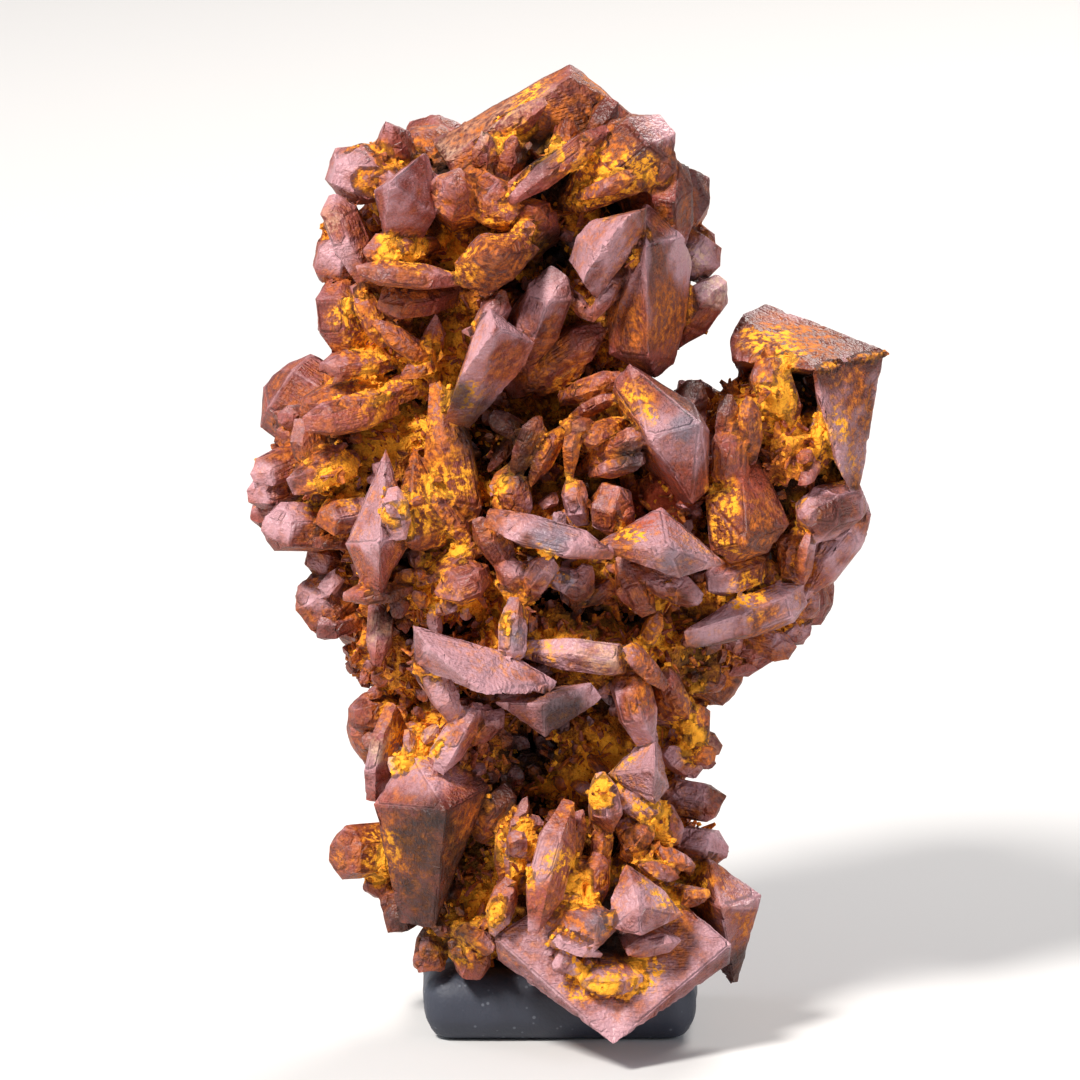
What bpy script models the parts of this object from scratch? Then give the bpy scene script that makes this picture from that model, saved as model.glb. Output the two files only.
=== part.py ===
"""Limonite pseudomorph: a standing cluster of grown-together crystals on a small display base.

Metres, +Z up. The origin is the centre of the base's underside, and the specimen faces -Y.
Every crystal is a convex solid. Most are spears: pointed at both ends, widest at a girdle, and cut
off at each point to a short chisel edge. The largest ones are given by their own corners.
All crystals and the rough matrix between them are one Boolean union, because they grew as one piece.
"""

import math
import random

import bmesh
import bpy
from mathutils import Matrix, Vector

MM = 0.001

# The specimen is drawn as it is seen from the front, from a little above the horizon.
# A place is (across, up, forward) in mm: across and up as seen, forward of the middle plane.
VIEW_TILT = math.radians(12)
SEEN_FLOOR_UP = 2.8

BASE_WIDTH = 28 * MM
BASE_DEPTH = 22 * MM
BASE_HEIGHT = 7.2 * MM
BASE_CORNER_RADIUS = 3.2 * MM
REST_GAP = 0.3 * MM

GROWTH_SEED = 7
CORNER_WANDER = 0.05
CHISEL_SHARE = (0.18, 0.5)
LUMP_WANDER = 0.14
# A point this far out from a lump's middle, as a share of its size, is surely inside the lump.
BURIED_SHARE = 0.7
ROOT_STEPS = 30
WELD_DISTANCE = 0.02 * MM
KEPT_TRIANGLES = 9500

# Spears: outer tip, inner tip, width as seen, depth away from the viewer, turn about the long axis
# in degrees, and how far the girdle is from the outer tip as a share of the length.
CROWN_SPEARS = [
    ((-22.4, 87.2, 5), (-12, 87.5, -5), 6.6, 8, 20, 0.38),
    ((-16.9, 92.2, 4), (-15.2, 85, -3), 3.8, 4.4, 30, 0.45),
    ((-13.4, 91.6, -2), (-12.5, 80, -7), 7.0, 8, 0, 0.30),
    ((-10.4, 85.6, 13.5), (-10, 82.5, -1), 5.8, 5.4, 40, 0.40),
    ((-4.3, 82.9, 12), (-10.5, 87.2, 4), 5.4, 6, 15, 0.40),
    ((-22.6, 85.3, 6), (-19.4, 76.6, 8), 4.0, 5.2, 25, 0.40),
    ((-23.5, 82.7, 1), (-18, 81, -3), 2.8, 3.4, 0, 0.35),
    ((-24.1, 78.6, 3), (-15, 79.6, -3), 4.8, 5.6, 30, 0.30),
    ((-19.2, 79.3, 13), (-13, 79.6, 6), 3.6, 4.0, 10, 0.40),
    ((-20.2, 77.6, 13.5), (-9.2, 76.5, 12), 2.8, 4.4, 12, 0.45),
    ((-2.8, 83.8, 12.5), (-3, 79.5, 1), 4.8, 4.8, 20, 0.45),
    ((-7.4, 91.2, 9.5), (-6.8, 85.5, 6), 2.8, 3.0, 35, 0.55),
    ((-4.6, 90.8, 9.5), (-5.4, 85.5, 6), 3.2, 3.2, 10, 0.55),
    ((-1.4, 94.4, 8.0), (-7.5, 90.2, 6), 2.4, 2.6, 0, 0.50),
    ((0.9, 92.6, 8.5), (0.4, 87.5, 5), 2.9, 3.2, 30, 0.45),
    ((5.2, 94.6, 5.0), (2.4, 88.5, 4), 3.0, 3.6, 20, 0.45),
    ((5.0, 91.8, 10.5), (-5.2, 84.2, 13), 2.7, 4.0, 15, 0.45),
    ((10.6, 92.0, 8), (1.4, 84.2, 9), 7.6, 8.4, 22, 0.36),
    ((7.4, 87.0, 14.2), (3.4, 85.0, 13.4), 1.9, 2.2, 30, 0.50),
    ((10.8, 88.4, 8.5), (11.0, 79, 3), 4.8, 6.6, 15, 0.40),
    ((14.4, 83.7, 2), (5, 86.5, -5), 8.0, 8.4, 30, 0.34),
    ((15.5, 77.8, 3), (8.5, 82.5, -3), 5.0, 6.4, 20, 0.34),
    ((16.0, 77.0, 4), (11.4, 70.4, 3), 4.0, 7.0, 20, 0.46),
    ((7.2, 79.9, 14.0), (9.0, 76.6, 6), 3.0, 3.2, 40, 0.40),
    ((3.1, 72.6, 11.0), (6.8, 78.8, 10), 1.7, 3.4, 0, 0.45),
    ((3.0, 72.7, 11.2), (0.6, 75.8, 9), 1.6, 3.0, 0, 0.45),
]

SHOULDER_SPEARS = [
    ((-22.2, 77.2, 3), (-21.2, 68.4, 4), 5.6, 6.2, 24, 0.45),
    ((-20.4, 76.6, 6), (-17.2, 70.2, 7), 2.7, 3.4, 10, 0.50),
    ((-18.0, 74.2, 10.5), (-9.5, 75.4, 4), 3.8, 4.6, 30, 0.35),
    ((-18.4, 72.6, 10.5), (-12.6, 68.5, 8), 2.3, 3.2, 15, 0.50),
    ((-12.2, 73.2, 8), (-13.2, 67.2, 6), 2.4, 3.0, 30, 0.50),
    ((-23.8, 68.1, 7), (-14.0, 69.2, 3), 2.6, 4.2, 25, 0.35),
    ((-15.8, 67.2, 9.5), (-12.2, 68.7, 8), 1.9, 2.4, 20, 0.50),
    ((-26.2, 64.2, 5), (-10.5, 67.0, 4), 3.5, 5.2, 30, 0.35),
    ((-25.4, 62.5, 12), (-16.0, 64.3, 8), 3.6, 4.4, 15, 0.42),
    ((-28.1, 63.1, 3), (-21, 63.6, 0), 2.6, 3.4, 10, 0.35),
    ((-28.4, 61.4, 2), (-21, 60.8, -1), 2.9, 3.6, 30, 0.35),
    ((-25.7, 63.0, 8), (-24.2, 57.4, 7), 3.2, 4.4, 35, 0.45),
    ((-30.8, 57.2, 5), (-22.5, 60.4, 1), 3.4, 4.4, 25, 0.35),
    ((-26.8, 56.2, 10), (-20.0, 59.4, 7), 3.8, 4.4, 15, 0.45),
    ((-31.2, 55.3, 4), (-22.5, 58.0, 0), 3.9, 5.0, 10, 0.34),
    ((-30.8, 53.5, 1), (-23, 54.6, -4), 3.8, 5.0, 30, 0.34),
    ((-29.7, 52.4, 8), (-18.5, 52.2, 3), 5.2, 6.2, 18, 0.36),
    ((-24.2, 53.0, 10), (-16.5, 54.2, 6), 3.9, 4.4, 35, 0.36),
    ((-16.5, 56.2, 16.8), (-15.7, 51.0, 18.4), 2.9, 3.2, 15, 0.50),
    ((-21.5, 45.4, 14), (-14.6, 46.1, 13), 1.8, 4.4, 20, 0.45),
    ((-25.6, 43.0, 4), (-18.5, 50.0, -2), 5.8, 6.6, 20, 0.36),
    ((-25.4, 49.3, 3), (-17.5, 47.8, -2), 3.6, 4.6, 10, 0.35),
    ((-24.5, 41.9, 5), (-17.5, 44.4, 0), 3.0, 3.8, 30, 0.35),
    ((-18.2, 38.4, 11.5), (-17.6, 46.4, 8), 2.9, 3.2, 20, 0.50),
    ((-12.7, 44.5, 12.5), (-12.2, 41.2, 11), 1.5, 1.8, 20, 0.50),
    ((-12.4, 66.8, 10), (-9.4, 51.0, 10), 5.4, 6.0, 35, 0.55),
    ((-13.6, 57.0, 12), (-8.6, 49.6, 12), 2.6, 3.6, 0, 0.50),
]

MIDDLE_SPEARS = [
    ((-0.1, 77.6, 12), (-3.8, 67.5, 8), 4.7, 5.4, 25, 0.38),
    ((-5.6, 75.6, 12), (-8.8, 69.0, 9), 3.0, 4.0, 0, 0.40),
    ((4.6, 72.2, 8), (-5.4, 65.6, 6), 4.4, 4.6, 20, 0.42),
    ((-7.0, 63.4, 12), (-1.2, 60.0, 9), 2.4, 3.2, 20, 0.35),
    ((-7.1, 57.8, 10), (-3.6, 62.4, 8), 1.6, 2.2, 20, 0.50),
    ((-1.9, 63.5, 13), (-4.8, 56.8, 12), 2.0, 3.2, 35, 0.40),
    ((0.2, 62.2, 12), (-3.2, 56.2, 12), 2.2, 3.2, 15, 0.40),
    ((1.5, 63.2, 15.5), (0.8, 57.2, 14), 1.9, 2.4, 20, 0.35),
    ((0.0, 62.2, 15.6), (3.2, 62.6, 15), 1.5, 2.2, 20, 0.50),
    ((2.0, 60.9, 15.5), (7.0, 62.9, 12), 2.4, 3.0, 20, 0.40),
    ((8.6, 61.6, 15.5), (2.8, 58.8, 13), 2.6, 3.2, 30, 0.40),
    ((8.4, 59.2, 15), (2.8, 57.4, 13), 2.2, 3.0, 10, 0.40),
    ((5.6, 65.4, 11), (0.8, 62.9, 10), 1.7, 2.4, 20, 0.40),
    ((6.2, 67.2, 10), (-0.2, 64.8, 8), 2.6, 3.4, 25, 0.45),
    ((13.5, 66.8, 9), (11.8, 59.5, 6), 3.3, 3.6, 20, 0.40),
    ((-8.0, 53.5, 18.5), (5.2, 49.4, 20), 3.4, 5.0, 18, 0.52),
    ((-8.3, 53.2, 16), (-4.8, 47.8, 13), 3.0, 3.6, 20, 0.45),
    ((14.0, 45.1, 15.5), (5.5, 48.8, 11), 3.3, 4.4, 25, 0.40),
    ((5.8, 49.4, 14), (8.8, 43.6, 13), 3.2, 4.2, 10, 0.50),
    ((5.0, 56.4, 14.5), (5.2, 51.2, 12), 4.4, 5.2, 25, 0.45),
    ((0.9, 57.3, 14), (2.2, 52.4, 14), 2.8, 3.4, 15, 0.45),
    ((-4.9, 57.3, 13), (-3.8, 52.6, 12), 3.4, 3.8, 30, 0.40),
    ((-5.8, 48.8, 15.5), (-2.3, 45.0, 13), 3.2, 3.6, 20, 0.40),
    ((-0.7, 49.4, 16.5), (-3.7, 44.8, 15), 2.6, 3.4, 30, 0.40),
    ((-12.3, 45.5, 15), (-6.8, 47.8, 13.5), 4.3, 5.4, 10, 0.50),
    ((-14.2, 46.5, 13.5), (-7.4, 51.1, 12), 1.8, 3.4, 25, 0.50),
    ((-12.4, 48.9, 12.5), (-7.2, 49.9, 12), 1.6, 3.0, 0, 0.50),
    ((-0.7, 47.7, 15.5), (3.2, 45.3, 13), 2.8, 3.4, 20, 0.40),
    ((2.7, 48.8, 14.5), (1.4, 44.0, 13), 2.4, 3.2, 10, 0.45),
    ((5.6, 47.0, 13), (2.2, 44.6, 12), 2.2, 2.8, 20, 0.45),
    ((-4.6, 45.4, 17.5), (-4.8, 38.5, 18), 3.1, 3.4, 30, 0.52),
]

ARM_SPEARS = [
    ((20.2, 69.0, 9), (22.8, 61.6, 7), 4.8, 5.2, 30, 0.40),
    ((16.8, 65.4, 12), (16.1, 60.6, 11), 2.2, 2.8, 20, 0.45),
    ((18.6, 65.2, 12), (19.0, 58.6, 11), 2.2, 3.2, 30, 0.45),
    ((16.9, 63.4, 11.5), (16.8, 54.6, 11), 3.9, 5.0, 35, 0.45),
    ((23.8, 53.2, 10.5), (30.2, 54.7, 2), 5.2, 6.2, 20, 0.45),
    ((30.9, 54.1, 3), (23.6, 45.0, 6), 3.5, 5.2, 30, 0.42),
    ((24.8, 52.2, 9), (24.1, 46.5, 8), 1.7, 2.8, 20, 0.50),
    ((23.4, 52.2, 8), (22.8, 46.0, 6), 3.0, 3.6, 10, 0.50),
    ((12.4, 41.0, 14), (24.4, 45.6, 8), 4.6, 5.0, 16, 0.62),
    ((26.1, 45.0, 4), (17, 44.0, 1), 3.8, 5.0, 25, 0.34),
    ((23.3, 39.8, 7), (15, 42.8, 4), 3.5, 4.4, 15, 0.36),
    ((17.7, 39.6, 8.5), (17.2, 42.8, 7.5), 1.4, 1.8, 20, 0.50),
    ((25.1, 42.2, 3), (17, 41.4, 0), 3.2, 4.4, 30, 0.35),
    ((17.0, 37.5, 3), (22.4, 40.8, -2), 2.4, 3.4, 20, 0.45),
    ((14.2, 46.6, 12), (21, 48.8, 6), 4.2, 4.6, 25, 0.45),
    ((26.9, 64.2, 8), (24.6, 56.6, 5), 2.8, 3.4, 15, 0.50),
]

WAIST_SPEARS = [
    ((-14.0, 40.6, 18.5), (-10.0, 32.6, 17), 3.0, 3.4, 14, 0.45),
    ((7.2, 38.9, 16), (-5.5, 40.5, 15), 3.6, 4.6, 25, 0.30),
    ((6.4, 40.6, 16.5), (10.6, 36.2, 14), 2.2, 3.2, 20, 0.40),
    ((10.0, 43.8, 12), (7.8, 39.8, 11), 1.9, 2.4, 10, 0.40),
    ((6.4, 38.9, 13.5), (8.5, 30.7, 14.5), 4.4, 5.2, 20, 0.45),
    ((3.9, 28.2, 16.5), (5.1, 22.1, 17), 3.3, 3.8, 30, 0.48),
    ((5.4, 26.9, 14), (10.0, 23.0, 13), 3.7, 4.4, 15, 0.50),
    ((16.6, 37.0, 5), (10.5, 36.8, 3), 2.7, 3.6, 20, 0.35),
    ((10.1, 38.7, 10.5), (12.9, 32.6, 8), 2.5, 3.4, 20, 0.45),
    ((13.6, 34.9, 8), (13.4, 29.2, 6), 3.2, 3.8, 30, 0.45),
    ((16.1, 30.0, 4), (10, 32.4, 1), 2.8, 3.6, 15, 0.36),
    ((15.6, 28.4, 3), (11, 30.6, 1), 1.8, 2.4, 15, 0.36),
    ((10.4, 30.2, 9), (14.0, 27.6, 6), 2.5, 3.0, 15, 0.45),
    ((16.4, 24.5, 5), (8, 25.8, 3), 4.2, 5.4, 25, 0.38),
    ((16.8, 19.9, 7), (9.2, 21.0, 6), 4.2, 5.2, 20, 0.38),
    ((-21.2, 33.2, 4), (-12.5, 35.4, -2), 4.4, 5.0, 15, 0.36),
    ((-20.0, 30.7, 4), (-14, 31.8, 0), 2.4, 3.0, 20, 0.36),
    ((-16.7, 34.8, 10.5), (-18.9, 25.0, 9.5), 2.6, 4.0, 25, 0.45),
    ((-8.0, 35.0, 16.5), (-12.1, 28.0, 16.5), 2.8, 3.6, 10, 0.50),
    ((-5.6, 34.2, 15.5), (-9.0, 31.0, 15), 2.7, 3.2, 30, 0.50),
    ((-15.2, 32.2, 13.5), (-14.9, 29.2, 13), 1.5, 1.8, 20, 0.50),
    ((-16.7, 29.6, 13.5), (-15.3, 27.2, 13), 1.7, 2.0, 10, 0.50),
    ((-12.2, 32.6, 14.0), (-13.6, 30.8, 12.5), 1.5, 1.8, 20, 0.50),
]

FOOT_SPEARS = [
    ((-23.2, 19.5, 6), (-11, 20.3, -2), 5.8, 6.4, 12, 0.34),
    ((-19.8, 16.5, 4), (-13, 15.6, 0), 2.7, 3.4, 20, 0.36),
    ((-17.9, 14.2, 5), (-13, 17.2, 1), 2.5, 3.2, 20, 0.36),
    ((-17.4, 12.4, 7), (-12, 15.6, 2), 3.4, 4.2, 30, 0.38),
    ((-13.4, 7.3, 11), (-12.4, 13.0, 7), 3.7, 4.4, 20, 0.42),
    ((-6.4, 10.3, 15.5), (-11.4, 12.5, 11), 2.3, 3.2, 25, 0.42),
    ((-8.9, 7.2, 12.5), (-8.6, 13.0, 9), 4.2, 4.6, 20, 0.42),
    ((-4.9, 17.4, 17.5), (-6.8, 11.8, 17), 2.9, 3.8, 20, 0.45),
    ((0.9, 25.4, 18.5), (-2.7, 12.2, 22), 4.4, 5.4, 20, 0.48),
    ((1.9, 24.2, 15.5), (0.4, 16.6, 17.5), 2.2, 3.2, 15, 0.45),
    ((4.3, 23.2, 15), (3.8, 17.0, 15.5), 2.4, 3.2, 20, 0.45),
    ((9.0, 23.0, 14.5), (6.0, 19.0, 14.5), 2.6, 3.2, 20, 0.45),
    ((5.9, 23.6, 14), (8.0, 18.8, 15), 2.2, 3.0, 15, 0.45),
    ((-3.3, 25.6, 13.5), (-4.9, 16.2, 15.5), 2.6, 3.4, 20, 0.45),
    ((-5.4, 23.2, 13.5), (-5.7, 16.8, 13.5), 2.2, 3.0, 15, 0.45),
    ((-4.9, 26.3, 13), (-8.5, 21.2, 12), 3.7, 4.4, 20, 0.45),
    ((3.6, 20.0, 17.5), (3.6, 14.2, 18), 2.8, 3.4, 35, 0.40),
    ((2.7, 18.0, 18.5), (-0.4, 16.4, 18.5), 2.0, 2.4, 20, 0.50),
    ((-1.5, 16.3, 19.5), (3.3, 15.3, 19), 1.1, 2.8, 10, 0.50),
    ((-0.8, 11.7, 21.6), (4.1, 9.9, 21.8), 1.7, 2.8, 20, 0.45),
    ((11.9, 11.4, 19), (6.6, 10.2, 20.5), 2.1, 3.0, 20, 0.45),
    ((2.2, 7.1, 21.5), (8.2, 7.3, 20), 3.0, 3.6, 20, 0.45),
    ((-0.4, 10.2, 20), (2.3, 8.0, 20.8), 1.9, 2.4, 20, 0.50),
    ((8.1, 18.8, 17.5), (11.8, 17.4, 16), 1.6, 2.2, 20, 0.50),
    ((9.8, 20.3, 15.5), (13.3, 18.3, 14), 1.9, 2.6, 20, 0.50),
    ((9.5, 24.8, 12.5), (11.8, 20.6, 11), 3.0, 3.6, 30, 0.45),
    ((14.9, 15.9, 16), (11.8, 15.2, 15), 1.8, 2.2, 20, 0.50),
]

# Large crystals, each by the corners that its faces meet in.
CROWN_BLOCKS = [
    # The peak, with the pale bevel along its upper left edge.
    [(1.0, 98.3, 0), (-12.7, 90.7, 0), (-11.4, 88.6, 5), (-3.6, 93.8, 6.5), (1.0, 96.6, 5), (5.0, 94.6, 3),
     (8.4, 92.2, 1), (6.5, 85, 4), (-9, 84, 7), (-8, 86, -6), (2, 94, -7), (6, 86, -6)],
    # The pyramid at the crown's left that points forward.
    [(-16.7, 86.1, 16), (-13.2, 89.3, 11), (-11.8, 85.4, 8.5), (-12.3, 82.9, 10.5), (-14, 80.1, 9),
     (-17.3, 80.4, 11), (-18.4, 85.4, 10), (-14, 85, -3)],
    # The blunt pyramid below it, with ridges meeting at its front.
    [(-5.6, 79.0, 19), (-10.5, 78.2, 13.5), (-8.0, 81.2, 13), (-3.4, 81.2, 13), (-2.0, 79.6, 12.5),
     (-4.6, 76.6, 14), (-7.0, 75.2, 13), (-9.7, 75.9, 12.5), (-6, 79, 2)],
    # The tall coarse crystal on the right.
    [(8.4, 84.3, 10), (12.1, 81.0, 9), (13.0, 78.6, 6), (12.4, 72.6, 7), (11.2, 68.4, 8), (9.3, 66.9, 10),
     (8.7, 69, 14), (8.4, 80, 15), (4.8, 69.4, 9), (4.6, 74.6, 8), (6.3, 80, 10), (9, 76, -4)],
    # The leaning slab in front of it.
    [(8.5, 83.7, 14), (8.4, 81.0, 13.5), (3.5, 74.6, 14.5), (2.1, 76.4, 17), (5.2, 81.0, 18.5),
     (6.9, 82.9, 17.5), (0.9, 78.5, 12.5), (1.6, 80.9, 12), (3.0, 82.4, 12.5), (5, 79, 2)],
    # The arrowhead that points down to the left.
    [(-6.9, 73.8, 18), (-2.5, 70.4, 16), (-3.7, 67.9, 14), (-9.0, 62.0, 13), (-11.4, 62.7, 14),
     (-10.0, 66.5, 17), (-6.3, 71.8, 21), (-8.3, 71.4, 17), (-9, 71, 0)],
]

SHOULDER_BLOCKS = [
    # The large double pyramid at the left, with its level girdle.
    [(-17.2, 60.1, 12.5), (-21.2, 50.6, 14), (-17.8, 50.8, 20), (-14.6, 51.5, 15), (-17.8, 45.2, 15.5),
     (-19.3, 45.9, 14), (-17, 51, 3)],
    # Its twin on the right.
    [(-14.5, 60.4, 11), (-17.1, 52, 14.5), (-15.0, 50.8, 17.5), (-10.3, 52.4, 12.5), (-11.4, 50.4, 12.5),
     (-14.5, 49.8, 14.5), (-13, 53, 1)],
]

MIDDLE_BLOCKS = [
    # The large crystal right of the centre, lit above its girdle.
    [(6.8, 68.4, 13), (5.0, 66.4, 12.5), (8.6, 61.2, 18.5), (13.7, 62.5, 17.5), (14.7, 61.8, 13),
     (13.1, 54.5, 14.5), (14.7, 56, 12.5), (13.2, 64.5, 12), (8, 56, 1)],
    # The long wedge below it.
    [(3.0, 50.4, 18.5), (9.9, 54.3, 16), (16.4, 48.7, 17.5), (11.7, 47.3, 20), (8.4, 48.4, 20.5),
     (10.6, 50.3, 22.5), (10, 50, 8)],
]

ARM_BLOCKS = [
    # Roof and side wall of the large skeletal crystal, which is hollow between them.
    [(17.0, 71.0, 3), (18.3, 73.3, 0), (20.6, 74.4, -3), (32.0, 69.7, 4), (25.2, 67.9, 10), (21.5, 68.4, 8),
     (17.2, 69.0, 5), (24, 67, -7), (18, 68, -5)],
    [(32.0, 69.7, 4), (25.2, 67.9, 10), (25.4, 66.0, 9.5), (27.6, 58.5, 9), (29.4, 55.1, 6), (28.8, 56.5, 0),
     (31.2, 66, 0), (26, 62, -5)],
    # The crystal that bulges forward below the hollow.
    [(19.7, 59.0, 8), (18.0, 56.7, 13), (22.5, 52.6, 10.5), (20.5, 49.8, 12), (18.3, 50.7, 16.5),
     (15.0, 50.1, 13), (14.5, 55.2, 12.5), (17, 48.8, 12), (18, 53, 0)],
]

WAIST_BLOCKS = [
    # The bright roof-shaped crystal.
    [(-14.5, 42.6, 19.5), (-5.0, 39.8, 18.5), (-0.2, 36.9, 17.5), (-1.1, 35.9, 18.5), (-7.5, 35.8, 24),
     (-12.8, 40.2, 22.5), (-14.3, 38.6, 19), (-9, 39, 12), (-3, 37, 13)],
    # The chevron below it.
    [(-6.6, 35.0, 17), (-1.7, 34.8, 21.5), (-1.5, 31.6, 20), (3.0, 36.9, 18), (4.2, 35.3, 17), (-1, 36.6, 10),
     (-1, 33.5, 10)],
    # The grey pyramid at the right of the waist.
    [(9.5, 32.4, 13), (4.7, 27.8, 14), (9.3, 24.7, 17), (10.8, 26.4, 13), (9.3, 28.4, 18.5), (9, 28, 4)],
    # The big left crystal: a lit roof over a steep dark underside.
    [(-12.3, 32.0, 10), (-15.0, 30.2, 13), (-18.5, 24.8, 15), (-11.3, 24.3, 20), (-7.0, 26.5, 14),
     (-16.0, 12.9, 12), (-12.5, 12.3, 13.5), (-13, 24, 2)],
]

FOOT_BLOCKS = [
    # The pink plate among the small crystals of the dish.
    [(6.5, 19.0, 20), (5.0, 15.5, 21), (5.2, 12.5, 22.5), (8.0, 12.0, 23), (12.3, 13.8, 19), (10.3, 16.3, 19),
     (7.8, 15.0, 23.5), (8, 15, 12)],
    # The dark block beside it.
    [(-2.1, 14.9, 19), (0.5, 15.5, 18), (3.4, 15.4, 19), (6.5, 13.3, 21), (3.2, 10.2, 22.5), (0, 10.8, 21.5),
     (-1.3, 12, 20.5), (3.8, 13.8, 22.8), (2, 13, 12)],
    # The right crystal: a lit shoulder over a long dark point.
    [(14.9, 19.3, 9), (20.1, 15.5, 8), (19.8, 14.2, 9), (16, 14.4, 14), (17.5, 6.0, 8), (9, 18, 1)],
]

# The great dished crystal at the foot: its rhombus of rim corners, the points behind them,
# and the hollow that is cut into its face.
DISH_RIM = [(-6.5, 11.6, 17), (5.3, 1.1, 23), (17.0, 10.9, 16.5), (6.0, 20, 13)]
DISH_BEVEL = [(-6.2, 9.3, 15.5), (5.3, 1.9, 20), (16.9, 8.9, 15)]
DISH_BACK = [(-3, 13, 6), (5.2, 8.5, 12.6), (14, 12, 6), (6, 18, 3)]
DISH_HOLLOW_RIM = [(-2.8, 12.2, 24), (5.2, 5.6, 28), (13.2, 12.2, 24), (6.0, 20, 20)]
DISH_HOLLOW_FLOOR = [(0.5, 12.4, 17), (5.2, 8.6, 18.2), (10.2, 12.4, 16.5), (6.0, 17, 14)]

# Rough matrix between the crystals: centre and half sizes.
LUMPS = [
    ((-5, 83.5, -3), (14, 7.5, 10)),
    ((4, 76, -3), (9, 9, 9)),
    ((-12, 72, -2), (10, 8, 9)),
    ((-18, 59, -1), (10, 9, 8.5)),
    ((-3, 64.5, -5), (12, 8, 7)),
    ((-2, 55, -2), (14, 8, 13)),
    ((6, 51, 0), (10, 8, 13)),
    ((-11, 49, 1), (11, 8, 12)),
    ((21, 59, -1), (8.5, 9.5, 8)),
    ((18, 46, -1), (7.5, 6, 9)),
    ((-2, 41, 2), (15, 6, 12)),
    ((10, 41, 0), (7, 5, 8)),
    ((-14.5, 40.5, 0), (6.5, 5, 8)),
    ((2, 31, 0), (12, 7, 10)),
    ((-9, 31, 0), (8.5, 7, 12)),
    ((1, 20, 1), (13, 7, 13)),
    ((-7, 16, 2), (9, 5, 11)),
    ((0, 12.5, 0), (12, 6, 9.5)),
]

# Crystals of the back and the flanks: how many leave each lump, how far they reach out of it,
# and how broad they are.
BACK_COUNTS = [10, 7, 7, 7, 4, 6, 5, 5, 6, 6, 6, 3, 3, 7, 6, 8, 3, 0]
BACK_REACH = (4.0, 8.0)
BACK_WIDTH = (5.5, 9.5)
BACK_FLATTEN = (0.6, 0.9)
BACK_LEAN = 1.2
BACK_ROOT = 0.5
BACK_SIDE_SHRINK = 0.66


def place(across, up, forward):
    """A point of the specimen, in metres, from where it is seen and how far forward it lies."""
    height = (up - SEEN_FLOOR_UP + forward * math.sin(VIEW_TILT)) / math.cos(VIEW_TILT)
    return Vector((across, -forward, height)) * MM


def buried_in(point, lump):
    """How far out a point lies from the middle of a lump, where 1 is the lump's skin."""
    centre, (wide, tall, deep) = lump
    offset = (point - place(*centre)) / MM
    return Vector((offset.x / wide, offset.y / deep, offset.z / tall)).length


def root_for(middle, inner):
    """Where a crystal is rooted in the matrix: straight behind it, or else in the nearest lump.
    None if its inner tip is in the matrix already."""
    if min(buried_in(inner, lump) for lump in LUMPS) < BURIED_SHARE:
        return None
    backwards = Vector((0, math.cos(VIEW_TILT), -math.sin(VIEW_TILT))) * MM
    for step in range(ROOT_STEPS):
        probe = middle + backwards * step
        if min(buried_in(probe, lump) for lump in LUMPS) < BURIED_SHARE:
            return probe
    nearest = min(LUMPS, key=lambda lump: buried_in(inner, lump))
    return place(*nearest[0]).lerp(inner, BURIED_SHARE / buried_in(inner, nearest))


def link(obj, collection):
    collection.objects.link(obj)
    return obj


def new_collection(name, is_helper=False):
    collection = bpy.data.collections.new(name)
    bpy.context.scene.collection.children.link(collection)
    collection.hide_render = is_helper
    return collection


def hull_object(name, points, collection):
    """The convex solid with these corners."""
    mesh = bpy.data.meshes.new(name)
    bm = bmesh.new()
    for point in points:
        bm.verts.new(point)
    found = bmesh.ops.convex_hull(bm, input=bm.verts)
    inside = {item for item in found["geom_interior"] + found["geom_unused"] if isinstance(item, bmesh.types.BMVert)}
    bmesh.ops.delete(bm, geom=list(inside), context="VERTS")
    bmesh.ops.recalc_face_normals(bm, faces=bm.faces)
    bm.to_mesh(mesh)
    bm.free()
    obj = bpy.data.objects.new(name, mesh)
    obj.hide_render = collection.hide_render
    obj.display_type = "WIRE" if collection.hide_render else "TEXTURED"
    return link(obj, collection)


def spear_corners(outer, inner, width, depth, turn, girdle, rng):
    """Corners of a crystal with a point at each end, a six-sided girdle and short chisel edges."""
    axis = inner - outer
    length = axis.length
    axis.normalize()
    towards_viewer = Vector((0, -math.cos(VIEW_TILT), math.sin(VIEW_TILT)))
    reference = towards_viewer if abs(axis.dot(towards_viewer)) < 0.75 else Vector((0, 0, 1))
    side = axis.cross(reference).normalized()
    side = Matrix.Rotation(math.radians(turn), 3, axis) @ side
    front = axis.cross(side)
    corners = []
    for corner in range(6):
        angle = math.radians(60 * corner)
        wander = 1 + rng.uniform(-CORNER_WANDER, CORNER_WANDER)
        along = girdle * length * (1 + rng.uniform(-0.12, 0.12))
        corners.append(
            outer
            + axis * along
            + side * (0.5 * width * math.cos(angle) * wander)
            + front * (0.5 * depth * math.sin(angle) * wander)
        )
    for end in (outer, inner):
        chisel = side * (0.5 * width * rng.uniform(*CHISEL_SHARE))
        corners += [end + chisel, end - chisel]
    return corners


def grow_spears(name, rows, collection, rng):
    for number, (outer, inner, width, depth, turn, girdle) in enumerate(rows):
        tips = place(*outer), place(*inner)
        corners = spear_corners(*tips, width * MM, depth * MM, turn, girdle, rng)
        root = root_for(tips[0].lerp(tips[1], 0.5), tips[1])
        if root:
            corners.append(root)
        hull_object(f"{name}_spear_{number}", corners, collection)


def grow_blocks(name, blocks, collection):
    for number, corners in enumerate(blocks):
        hull_object(f"{name}_block_{number}", [place(*corner) for corner in corners], collection)


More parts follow.
